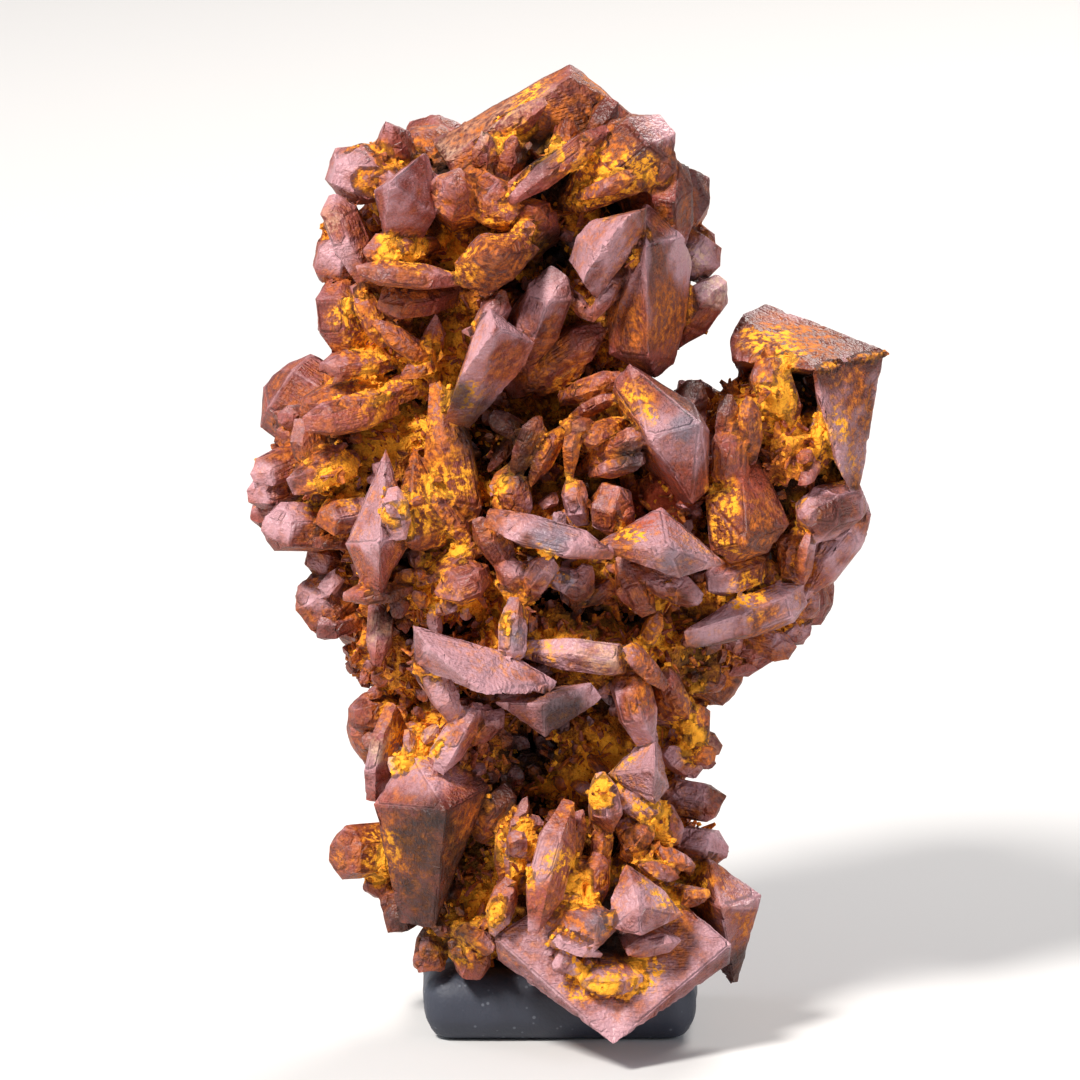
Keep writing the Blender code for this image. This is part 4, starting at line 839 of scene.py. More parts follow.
def stray_crystals(group, centre, sizes, look):
    """Longer crystals that lie along the back of a lump."""
    strays = []
    for _ in range(STRAYS_PER_LUMP):
        turn, rise = look.uniform(*STRAY_TURN) * math.pi, look.uniform(*STRAY_RISE)
        ring = math.sqrt(1 - rise * rise)
        outward = Vector((ring * math.cos(turn), ring * math.sin(turn), rise))
        middle = place(*centre) + Vector(
            (outward.x * sizes[0] * BACK_SIDE_SHRINK, outward.y * sizes[2] * STRAY_LIFT, outward.z * sizes[1])
        )
        across = outward.cross(Vector([look.gauss(0, 1) for _ in range(3)]))
        across.x *= STRAY_ACROSS
        axis = (across.normalized() + outward * look.uniform(*STRAY_OUT)).normalized()
        half = 0.5 * look.uniform(*STRAY_LENGTH)
        tips = middle + axis * half, middle - axis * half
        width, turn = look.uniform(*STRAY_WIDTH), look.uniform(*TURNS)
        flat = width * look.uniform(*STRAY_FLATTEN)
        corners = spear_corners(*tips, width, flat, turn, STRAY_GIRDLE, look)
        strays.append(Crystal(group, corners, look, axis=-axis, broken=look.uniform(*STRAY_BREAK) * half))
        strays += partners(group, tips, width, PARTNER_DEPTH * width, turn, look)
    return strays


def smooth_step(value, start, end):
    """Smoothly from 0 at start to 1 at end."""
    share = np.clip((value - start) / (end - start), 0, 1)
    return share * share * (3 - 2 * share)


def smooth_max(a, b, blend):
    """The larger of two distances, rounded where they meet."""
    return np.maximum(a, b) + 0.25 * blend * np.maximum(1 - np.abs(a - b) / blend, 0) ** 2


def lattice(places, spacing):
    """The matrix that reads a coarse row of numbers at finer places, with smooth steps between."""
    cell = (places - places[0]) / spacing
    base = np.floor(cell).astype(int)
    share = cell - base
    share = share * share * (3 - 2 * share)
    matrix = np.zeros((len(places), base.max() + 2), dtype=np.float32)
    rows = np.arange(len(places))
    matrix[rows, base] = 1 - share
    matrix[rows, base + 1] = share
    return matrix


def noise_at(points, spacing, seed):
    """Smooth noise from -1 to 1 at scattered points, one value for each."""
    cell = points / spacing
    base = np.floor(cell).astype(np.int64)
    share = (cell - base).astype(np.float32)
    share = share * share * (3 - 2 * share)
    total = np.zeros(len(points), dtype=np.float32)
    for corner in range(8):
        steps = np.array([corner & 1, corner >> 1 & 1, corner >> 2 & 1])
        weight = np.prod(np.where(steps, share, 1 - share), axis=1)
        place_of = (base + steps).astype(np.uint64)
        mixed = np.bitwise_xor.reduce(place_of * np.array(HASH_PRIMES, dtype=np.uint64), axis=1)
        mixed = mixed ^ np.uint64(seed * HASH_SEED)
        mixed = (mixed ^ mixed >> np.uint64(15)) * np.uint64(HASH_MIX)
        mixed = mixed ^ mixed >> np.uint64(13)
        total += weight * ((mixed & np.uint64(0xFFFF)).astype(np.float32) / HASH_HALF - 1)
    return total


class Growth:
    """Distances from a grid of places to every crystal, and what follows from them."""

    def __init__(self, sizes):
        self.step = sizes.grid_step / MM
        self.crystals = grow_crystals()
        low = np.array(FRAME_BOX[0]) / MM - GRID_MARGIN
        high = np.array(FRAME_BOX[1]) / MM + GRID_MARGIN
        self.axes = [
            np.arange(low[i], high[i] + self.step, self.step, dtype=np.float32) for i in range(3)
        ]
        self.shape = tuple(len(axis) for axis in self.axes)
        self.rng = np.random.default_rng(GROWTH_SEED)
        self.fill = self.fill_radius(sizes)
        self.measure(sizes)
        self.sprinkle(sizes)
        self.add_grains(sizes)
        self.cut_seat()
        solid = (self.field < 0).astype(np.float32)
        self.near_solid = self.blurred(solid, NEAR_REACH)
        self.far_solid = self.blurred(solid, FAR_REACH)

    def noise(self, spacing):
        """Smooth noise from -1 to 1 over the whole grid."""
        across, deep, tall = (lattice(axis, spacing) for axis in self.axes)
        values = self.rng.uniform(-1, 1, (across.shape[1], deep.shape[1], tall.shape[1]))
        values = values.astype(np.float32)
        values = np.tensordot(across, values, axes=(1, 0))
        values = np.tensordot(values, deep, axes=(1, 1))
        return np.ascontiguousarray(np.tensordot(values, tall, axes=(1, 1)))

    def blurred(self, values, reach):
        """The mean of the values within a box around each place."""
        steps = max(1, round(reach / self.step))
        for axis in range(3):
            padded = np.pad(values, [(steps + 1, steps) if i == axis else (0, 0) for i in range(3)])
            total = np.cumsum(padded, axis=axis, dtype=np.float64)
            size = values.shape[axis]
            width = 2 * steps + 1
            ahead = np.take(total, np.arange(width, width + size), axis=axis)
            behind = np.take(total, np.arange(size), axis=axis)
            values = ((ahead - behind) / width).astype(np.float32)
        return values

    def spots(self, spots):
        """How near each grid place is to a spot as it is seen from the front: 1 in its middle, 0 off it."""
        return read_spots(spots, self.axes[0][:, None, None], self.axes[1][None, :, None], self.axes[2])

    def fill_radius(self, sizes):
        """How widely powder fills the crevices."""
        drift = sum(share * self.noise(width) for share, width in POWDER_DRIFT)
        powder = smooth_step(drift, *POWDER_RANGE)
        powder = np.maximum(powder, self.spots(SPOTS["ochre"]) * (0.8 + 0.5 * drift))
        thin, thick = sizes.thin_fill / MM, sizes.thick_fill / MM
        return (thin + (thick - thin) * np.clip(powder, 0, 1)).astype(np.float32)

    def room(self, low, high):
        """The part of the grid around a solid."""
        return tuple(
            slice(
                max(0, int(np.searchsorted(axis, low[i] - REACH))),
                int(np.searchsorted(axis, high[i] + REACH)),
            )
            for i, axis in enumerate(self.axes)
        )

    def distance(self, normals, offsets, room, worn):
        """Distance to a convex solid, with worn edges."""
        x, y, z = (axis[part] for axis, part in zip(self.axes, room))
        result = None
        for (a, b, c), offset in zip(normals, offsets):
            plane = (a * x - offset)[:, None, None] + (b * y)[None, :, None] + (c * z)[None, None, :]
            result = plane if result is None else smooth_max(result, plane, worn)
        return result

    def measure(self, sizes):
        """Fill the grid with the smooth distance, the hard one, who is nearest, and one for each group."""
        self.field = np.full(self.shape, FAR, dtype=np.float32)
        self.hard = np.full(self.shape, FAR, dtype=np.float32)
        self.owner = np.full(self.shape, -1, dtype=np.int16)
        self.group_fields = {name: np.full(self.shape, FAR, dtype=np.float32) for name in PIECES}
        worn = sizes.worn_edge / MM
        for number, crystal in enumerate(self.crystals):
            room = self.room(crystal.low, crystal.high)
            distance = self.distance(crystal.normals, crystal.offsets, room, worn)
            if crystal.hollow:
                distance = smooth_max(distance, -self.distance(*crystal.hollow, room, worn), worn)
            self.add(distance, room, crystal.group, number)
        coarse, middling = (self.noise(width) for width in LUMP_NOISE)
        hollows = self.hollows() + HOLLOW_BUMPS * middling
        for number, (centre, sizes_of) in enumerate(LUMPS):
            room, skin = self.ellipsoid(centre, sizes_of, LUMP_SHRINK)
            distance = skin - LUMP_BUMPS[0] * coarse[room] - LUMP_BUMPS[1] * middling[room]
            distance = np.maximum(distance, -hollows[room])
            self.add(distance.astype(np.float32), room, LUMP_GROUPS[number], MATRIX_OWNER)
        for group, centre, sizes_of in NODULES:
            room, skin = self.ellipsoid(centre, sizes_of)
            distance = skin + NODULE_DEPTH * (np.abs(middling[room]) - NODULE_WALL)
            self.add(distance.astype(np.float32), room, group, MATRIX_OWNER, FRAGMENT_FILL)

    def ellipsoid(self, centre, sizes, shrink=1.0):
        """The room around an ellipsoid, and the distance to its skin there."""
        wide, tall, deep = sizes
        middle, half = np.array(place(*centre)), np.array((wide, deep, tall)) * shrink
        room = self.room(middle - half, middle + half)
        x, y, z = (
            (axis[part] - middle[i]) / half[i] for i, (axis, part) in enumerate(zip(self.axes, room))
        )
        share = np.sqrt(x[:, None, None] ** 2 + y[None, :, None] ** 2 + z[None, None, :] ** 2)
        return room, (share - 1) * half.min()

    def hollows(self):
        """Distances to the deep hollows in the matrix."""
        result = np.full(self.shape, FAR, dtype=np.float32)
        for centre, (wide, tall, deep) in HOLLOWS:
            half = (wide, deep, tall)
            x, y, z = ((self.axes[i] - middle) / half[i] for i, middle in enumerate(place(*centre)))
            share = np.sqrt(x[:, None, None] ** 2 + y[None, :, None] ** 2 + z[None, None, :] ** 2)
            result = np.minimum(result, (share - 1) * min(wide, tall, deep))
        return result

    def sprinkle(self, sizes):
        """Grow small crystals out of the matrix and the filled crevices."""
        crevice = (self.owner == MATRIX_OWNER) | (self.hard - self.field > CREVICE_FILL)
        shell = np.argwhere(crevice & (np.abs(self.field) < 0.5 * self.step))
        shell = shell[np.all((shell > 1) & (shell < np.array(self.shape) - 2), axis=1)]
        chosen = shell[self.rng.choice(len(shell), sizes.fragment_count, replace=False)]
        look = random.Random(GROWTH_SEED + 4)
        for cell in chosen:
            here = tuple(cell)
            slope = []
            for axis in range(3):
                ahead, behind = list(here), list(here)
                ahead[axis] += 2
                behind[axis] -= 2
                slope.append(self.field[tuple(ahead)] - self.field[tuple(behind)])
            lean = Vector([look.uniform(-1, 1) for _ in range(3)])
            outward = (Vector(slope).normalized() + FRAGMENT_LEAN * lean).normalized()
            shortest, longest = FRAGMENT_LENGTH
            length = shortest + (longest - shortest) * look.random() ** FRAGMENT_SHORTNESS
            width = length * look.uniform(*FRAGMENT_WIDTH)
            middle = Vector([axis[index] for axis, index in zip(self.axes, here)])
            tip = middle + outward * length * look.uniform(*FRAGMENT_TIP)
            end = middle - outward * length * FRAGMENT_ROOT
            flat, spin = width * look.uniform(*FRAGMENT_FLATTEN), look.uniform(*TURNS)
            corners = spear_corners(tip, end, width, flat, spin, SMALL_GIRDLE, look)
            group = min(PIECES, key=lambda name: self.group_fields[name][here])
            broken = look.uniform(*FRAGMENT_BREAK) * length
            crystal = Crystal(group, corners, look, axis=end - tip, broken=broken)
            crystal.stain = look.uniform(*FRAGMENT_STAIN)
            room = self.room(crystal.low, crystal.high)
            distance = self.distance(crystal.normals, crystal.offsets, room, sizes.worn_edge / MM)
            self.add(distance, room, group, len(self.crystals), FRAGMENT_FILL)
            self.crystals.append(crystal)

    def add(self, distance, room, group, owner, fill=None):
        """Join a solid to the grid, with powder in the crevice where it meets the rest."""
        field, hard = self.field[room], self.hard[room]
        fill = fill or self.fill[room]
        overlap = np.maximum(fill - np.abs(field - distance), 0)
        self.field[room] = np.minimum(field, distance) - overlap * overlap / (4 * fill)
        nearer = distance < hard
        self.owner[room][nearer] = owner
        self.hard[room] = np.minimum(hard, distance)
        self.group_fields[group][room] = np.minimum(self.group_fields[group][room], distance)

    def add_grains(self, sizes):
        """Break up the filled crevices and the matrix into grains and crusts."""
        self.powder = np.maximum(self.hard - self.field, 0)
        self.powder[self.owner == MATRIX_OWNER] = FAR
        mask = smooth_step(self.powder, 0.02, 0.22)
        (fine, fine_width), (coarse, coarse_width) = CRUST_GRAINS
        grains = fine * self.noise(fine_width) + coarse * np.abs(self.noise(coarse_width)) - CRUST_SUNK
        self.field -= mask * grains * (sizes.grain_height / MM)

    def cut_seat(self):
        """Cut the underside to the room of the base."""
        half = [max(-BASE_LOW[i], BASE_HIGH[i]) / MM + REST_GAP for i in range(2)]
        top = BASE_HIGH[2] / MM + REST_GAP
        x, y, z = self.axes
        inside = np.maximum(
            np.maximum(np.abs(x)[:, None, None] - half[0], np.abs(y)[None, :, None] - half[1]),
            (z - top)[None, None, :],
        )
        self.field = np.maximum(self.field, -inside)

    def sample(self, values, points):
        """Read grid values at scattered points."""
        cell = [(points[:, i] - self.axes[i][0]) / self.step for i in range(3)]
        base = [np.clip(np.floor(c).astype(int), 0, self.shape[i] - 2) for i, c in enumerate(cell)]
        share = [c - b for c, b in zip(cell, base)]
        total = np.zeros(len(points), dtype=np.float32)
        for corner in range(8):
            steps = (corner & 1, corner >> 1 & 1, corner >> 2 & 1)
            weight = np.ones(len(points), dtype=np.float32)
            for i in range(3):
                weight = weight * (share[i] if steps[i] else 1 - share[i])
            total += weight * values[base[0] + steps[0], base[1] + steps[1], base[2] + steps[2]]
        return total


def read_spots(spots, x, y, z):
    """How near places are to a spot, as seen from the front and only in the front half."""
    up_seen = z * math.cos(VIEW_TILT) + SEEN_FLOOR_UP + y * math.sin(VIEW_TILT)
    across_places = np.arange(*SPOT_MAP_ACROSS, SPOT_MAP_STEP)
    up_places = np.arange(*SPOT_MAP_UP, SPOT_MAP_STEP)
    chart = np.zeros((len(across_places), len(up_places)), dtype=np.float32)
    for across, up, radius in spots:
        away = np.hypot(across_places[:, None] - across, up_places[None, :] - up)
        chart = np.maximum(chart, smooth_step(away, SPOT_FADE[0] * radius, SPOT_FADE[1] * radius))
    column = np.clip((x - across_places[0]) / SPOT_MAP_STEP, 0, len(across_places) - 1).astype(int)
    row = np.clip((up_seen - up_places[0]) / SPOT_MAP_STEP, 0, len(up_places) - 1).astype(int)
    return chart[column, row] * smooth_step(-y, *SPOT_FRONT)


def surface_of(field, origin, step):
    """Points and four-sided faces of the surface where a field passes through zero."""
    inside = field < 0
    strides = np.array([field.shape[1] * field.shape[2], field.shape[2], 1])
    cells, places = [], []
    for axis in range(3):
        ahead = [slice(None)] * 3
        behind = [slice(None)] * 3
        ahead[axis] = slice(1, None)
        behind[axis] = slice(None, -1)
        crossing = inside[tuple(ahead)] != inside[tuple(behind)]
        others = [i for i in range(3) if i != axis]
        where = np.argwhere(crossing)
        keep = np.all([(where[:, i] > 0) & (where[:, i] < field.shape[i] - 1) for i in others], axis=0)
        where = where[keep]
        here = field[tuple(where.T)]
        further = where.copy()
        further[:, axis] += 1
        there = field[tuple(further.T)]
        place_of = where.astype(np.float32)
        place_of[:, axis] += here / (here - there)
        index = where @ strides
        first, second = strides[others[0]], strides[others[1]]
        ring = np.stack([index - first - second, index - second, index, index - first], axis=1)
        flip = (here < 0) != (axis == 1)
        ring[~flip] = ring[~flip][:, ::-1]
        cells.append(ring)
        places.append(place_of)
    rings = np.concatenate(cells)
    places = np.repeat(np.concatenate(places), 4, axis=0)
    used, index = np.unique(rings.reshape(-1), return_inverse=True)
    index = index.reshape(-1)
    counts = np.bincount(index)
    points = np.stack([np.bincount(index, weights=places[:, i]) / counts for i in range(3)], axis=1)
    return points * step + origin, index.reshape(-1, 4)


def main_bodies(points, faces):
    """Drop loose chips and sealed gaps: keep only bodies of some volume that face outwards."""
    label = np.arange(len(points))
    while True:
        lowest = label[faces].min(axis=1)
        new = label.copy()
        for corner in range(4):
            np.minimum.at(new, faces[:, corner], lowest)
        new = new[new]
        if np.array_equal(new, label):
            break
        label = new
    a, b, c, d = (points[faces[:, i]] for i in range(4))
    volume = np.einsum("ij,ij->i", a, np.cross(b, c)) + np.einsum("ij,ij->i", a, np.cross(c, d))
    totals = np.bincount(label[faces[:, 0]], weights=volume / 6, minlength=len(points))
    kept = totals > SMALLEST_BODY
    faces = faces[kept[label[faces[:, 0]]]]
    used, index = np.unique(faces.reshape(-1), return_inverse=True)
    return points[used], index.reshape(-1, 4)


def coarsen_hidden(points, faces, hidden):
    """Merge the points that lie deep inside the specimen into large steps, as nobody sees them."""
    cell = np.floor(points / HIDDEN_STEP).astype(np.int64)
    cell -= cell.min(axis=0)
    key = (cell[:, 0] * CELLS_PER_SIDE + cell[:, 1]) * CELLS_PER_SIDE + cell[:, 2]
    key = np.where(hidden, key, UNMERGED + np.arange(len(points)))
    _, merged = np.unique(key, return_inverse=True)
    merged = merged.reshape(-1)
    count = np.bincount(merged)
    points = np.stack([np.bincount(merged, weights=points[:, i]) / count for i in range(3)], axis=1)
    faces = merged[faces]
    following = np.roll(faces, -1, axis=1)
    crossed = (faces[:, 0] == faces[:, 2]) | (faces[:, 1] == faces[:, 3])
    shut = (faces == following).sum(axis=1)
    quads = faces[(shut == 0) & ~crossed]
    narrow = faces[(shut == 1) & ~crossed]
    first = (narrow == np.roll(narrow, -1, axis=1)).argmax(axis=1)
    corners = (first[:, None] + np.array([1, 2, 3])) % 4
    return points, unpaired(quads), unpaired(np.take_along_axis(narrow, corners, axis=1))


def unpaired(faces):
    """Faces, without those that lie back to back on the same corners."""
    _, first, count = np.unique(np.sort(faces, axis=1), axis=0, return_index=True, return_counts=True)
    return faces[np.sort(first[count % 2 == 1])]


def pull_to_planes(points, crystal, step):
    """Move points that lie beside an edge or a corner of a crystal onto it."""
    away = points @ crystal.normals.T - crystal.offsets
    pull = np.clip((away + PULL_FROM * step) / (PULL_OVER * step), 0, 1)
    weighted = crystal.normals[None] * pull[:, :, None]
    matrix = np.einsum("npi,pj->nij", weighted, crystal.normals) + PULL_DAMPING * np.eye(3)
    move = np.linalg.solve(matrix, -np.einsum("npi,np->ni", weighted, away)[..., None])[..., 0]
    length = np.linalg.norm(move, axis=1, keepdims=True)
    return points + move * np.minimum(1, PULL_MOST * step / np.maximum(length, 1e-6))


def face_relief(points, crystal, face, ridge, sizes):
    """How far each point of a crystal's faces stands proud: grooves along it, and sunken panels."""
    along = points @ crystal.axis
    squeezed = points - np.outer(along, crystal.axis) * GROOVE_STRETCH
    grooves = noise_at(squeezed, GROOVE_WIDTH, crystal.seed % 997)
    swell = noise_at(points, SWELL_WIDTH, crystal.seed % 991)
    pits = smooth_step(noise_at(points, PIT_WIDTH, crystal.seed % 983), 0.35, 0.8)
    sunken = np.random.default_rng(crystal.seed).random(len(crystal.offsets)) < PANEL_SHARE
    panel = sunken[face] * smooth_step(ridge, 0.45, 0.85)
    relief = sizes.groove_depth / MM * grooves + SWELL_DEPTH * swell
    return relief - sizes.panel_depth / MM * panel - sizes.pit_depth / MM * pits


def dress(points, growth, sizes):
    """Sharpen and work the crystals' faces, and note at each point what its finish depends on."""
    step = growth.step
    origin = np.array([axis[0] for axis in growth.axes])
    cell = np.rint((points - origin) / step).astype(int)
    cell = np.minimum(cell, np.array(growth.shape) - 1)
    owner = growth.owner[tuple(cell.T)]
    powder = np.minimum(growth.sample(np.minimum(growth.powder, 2), points), 1)
    looks = {
        "powder": powder,
        "ridge": np.full(len(points), NO_RIDGE, dtype=np.float32),
        "tint": np.full(len(points), 0.5, dtype=np.float32),
        "frost": np.zeros(len(points), dtype=np.float32),
        "strand": points.astype(np.float32),
        "stain": np.ones(len(points), dtype=np.float32),
    }
    for number in np.unique(owner[owner >= 0]):
        crystal = growth.crystals[number]
        which = np.flatnonzero(owner == number)
        away = points[which] @ crystal.normals.T - crystal.offsets
        bare = (np.abs(away.max(axis=1)) < ON_FACE * step) & (powder[which] < BARE_POWDER)
        which = which[bare]
        if len(which) == 0:
            continue
        own = pull_to_planes(points[which], crystal, step)
        away = own @ crystal.normals.T - crystal.offsets
        face = away.argmax(axis=1)
        top = np.sort(away, axis=1)
        ridge = top[:, -1] - top[:, -2]
        fade = smooth_step(powder[which], BARE_POWDER, 0.0)
        relief = face_relief(own, crystal, face, ridge, sizes) * fade
        points[which] = own + crystal.normals[face] * relief[:, None]
        looks["strand"][which] = own - np.outer(own @ crystal.axis, crystal.axis) * GROOVE_STRETCH
        looks["ridge"][which] = ridge
        shades = np.random.default_rng(crystal.seed + 1).random(len(crystal.offsets))
        looks["tint"][which] = 0.5 * crystal.tint + 0.5 * shades[face]
        looks["stain"][which] = crystal.stain
        looks["frost"][which] = crystal.frosting
    x, y, z = points.T
    ragged = SPOT_EDGE_NOISE * noise_at(points, 1.1, 5) + SPOT_EDGE_NOISE * noise_at(points, 3.0, 6)
    for look, spots in SPOTS.items():
        seen = read_spots(spots, x, y, z)
        looks[look] = np.clip(seen * (1 + ragged), 0, 1)
    looks["near"] = growth.sample(growth.near_solid, points)
    looks["far"] = growth.sample(growth.far_solid, points)
    return looks


def piece_surface(growth, name, sizes):
    """The surface of one group of crystals, which runs a little way into its neighbours."""
    own = growth.group_fields[name]
    near = np.argwhere(own < 1.0)
    low = np.maximum(near.min(axis=0) - 3, 0)
    high = near.max(axis=0) + 4
    room = tuple(slice(a, b) for a, b in zip(low, high))
    own = own[room]
    others = np.full(own.shape, FAR, dtype=np.float32)
    for other, values in growth.group_fields.items():
        if other != name:
            others = np.minimum(others, values[room])
    past = 0.5 * (own - others)
    field = np.maximum(growth.field[room] + 0.5 * np.maximum(past, 0), past - JOIN_OVERLAP)
    field = np.pad(field, 1, constant_values=FAR)
    origin = np.array([axis[start] for axis, start in zip(growth.axes, low)]) - growth.step
    points, faces = surface_of(field, origin, growth.step)
    points, faces = main_bodies(points, faces)
    hidden = growth.sample(growth.field, points) < -HIDDEN_DEPTH
    points, quads, triangles = coarsen_hidden(points, faces, hidden)
    looks = dress(points, growth, sizes)
    return points, quads, triangles, looks


def mesh_piece(name, points, quads, triangles, looks):
    """A mesh object from points in mm, faces, and a number for each look at each point."""
    mesh = bpy.data.meshes.new(name)
    mesh.vertices.add(len(points))
    mesh.vertices.foreach_set("co", (points * MM).astype(np.float32).ravel())
    corners = np.concatenate([quads.ravel(), triangles.ravel()]).astype(np.int32)
    mesh.loops.add(len(corners))
    mesh.loops.foreach_set("vertex_index", corners)
    starts = np.concatenate([np.arange(len(quads)) * 4, quads.size + np.arange(len(triangles)) * 3])
    mesh.polygons.add(len(starts))
    mesh.polygons.foreach_set("loop_start", starts.astype(np.int32))
    mesh.update(calc_edges=True)
    for look, values in looks.items():
        kind, field = ("FLOAT_VECTOR", "vector") if values.ndim == 2 else ("FLOAT", "value")
        mesh.attributes.new(look, kind, "POINT").data.foreach_set(field, values.astype(np.float32).ravel())
    mesh.shade_smooth()
    mesh.set_sharp_from_angle(angle=SHARP_ANGLE)
    obj = bpy.data.objects.new(name, mesh)
    bpy.context.scene.collection.objects.link(obj)
    return obj


class Value:
    """A shader socket that can be used in Python expressions."""

    def __init__(self, finish, socket):
        self.finish = finish
        self.socket = socket

    def _maths(self, operation, first, second):
        return self.finish.node("ShaderNodeMath", {"operation": operation}, {0: first, 1: second})

    def __add__(self, other):
        return self._maths("ADD", self, other)

    def __radd__(self, other):
        return self._maths("ADD", other, self)

    def __sub__(self, other):
        return self._maths("SUBTRACT", self, other)

    def __rsub__(self, other):
        return self._maths("SUBTRACT", other, self)

    def __mul__(self, other):
        return self._maths("MULTIPLY", self, other)

    def __rmul__(self, other):
        return self._maths("MULTIPLY", other, self)

    def clamped(self):
        """The same number, kept between 0 and 1."""
        return self.finish.node("ShaderNodeClamp", {}, {0: self})

    def step(self, start, end):
        """Smoothly from 0 at start to 1 at end."""
        return self.finish.node(
            "ShaderNodeMapRange",
            {"interpolation_type": "SMOOTHSTEP"},
            {"Value": self, "From Min": start, "From Max": end},
        )


class Finish:
    """A material whose nodes are written as expressions."""

    def __init__(self, name):
        self.material = bpy.data.materials.new(name)
        self.material.use_nodes = True
        self.tree = self.material.node_tree
        self.tree.nodes.clear()

    def node(self, kind, settings, inputs, output=0):
        """A node with its settings, then the values or links of its sockets; gives one of its outputs."""
        node = self.tree.nodes.new(kind)
        for setting, value in settings.items():
            setattr(node, setting, value)
        for key, value in inputs.items():
            socket = node.inputs[key]
            if isinstance(value, Value):
                self.tree.links.new(value.socket, socket)
            elif isinstance(value, tuple) and socket.type == "RGBA":
                socket.default_value = (*value, 1)
            else:
                socket.default_value = value
        return Value(self, node.outputs[output])

    def attribute(self, name, output="Fac"):
        return self.node("ShaderNodeAttribute", {"attribute_name": name}, {}, output)

    def place(self):
        return self.node("ShaderNodeTexCoord", {}, {}, "Object")

    def noise(self, place, size, detail=2.0, roughness=0.55):
        """Noise from 0 to 1 with features about this size, in metres."""
        inputs = {"Vector": place, "Scale": 1 / size, "Detail": detail, "Roughness": roughness}
        return self.node("ShaderNodeTexNoise", {}, inputs)

    def bands(self, value, size):
        """Noise from 0 to 1 that changes with one number alone, about this far from band to band."""
        inputs = {"W": value, "Scale": 1 / size, "Detail": 2.0}
        return self.node("ShaderNodeTexNoise", {"noise_dimensions": "1D"}, inputs)

    def cells(self, place, size):
        """Distance to the middle of small cells of this size, in metres."""
        return self.node("ShaderNodeTexVoronoi", {}, {"Vector": place, "Scale": 1 / size})

    def mix(self, share, first, second, blend="MIX"):
        settings = {"data_type": "RGBA", "blend_type": blend, "clamp_factor": True}
        return self.node("ShaderNodeMix", settings, {0: share, 6: first, 7: second}, 2)

    def shade(self, value):
        """A grey of this brightness, for multiplying a colour."""
        return self.node("ShaderNodeCombineColor", {}, {0: value, 1: value, 2: value})

    def bump(self, height, depth):
        inputs = {"Height": height, "Strength": 1.0, "Distance": depth}
        return self.node("ShaderNodeBump", {}, inputs)

    def finished(self, **inputs):
        """End in one surface shader with these values, by the names of its sockets."""
        named = {key.replace("_", " "): value for key, value in inputs.items()}
        surface = self.node("ShaderNodeBsdfPrincipled", {}, named)
        output = self.tree.nodes.new("ShaderNodeOutputMaterial")
        self.tree.links.new(surface.socket, output.inputs["Surface"])
        return self.material


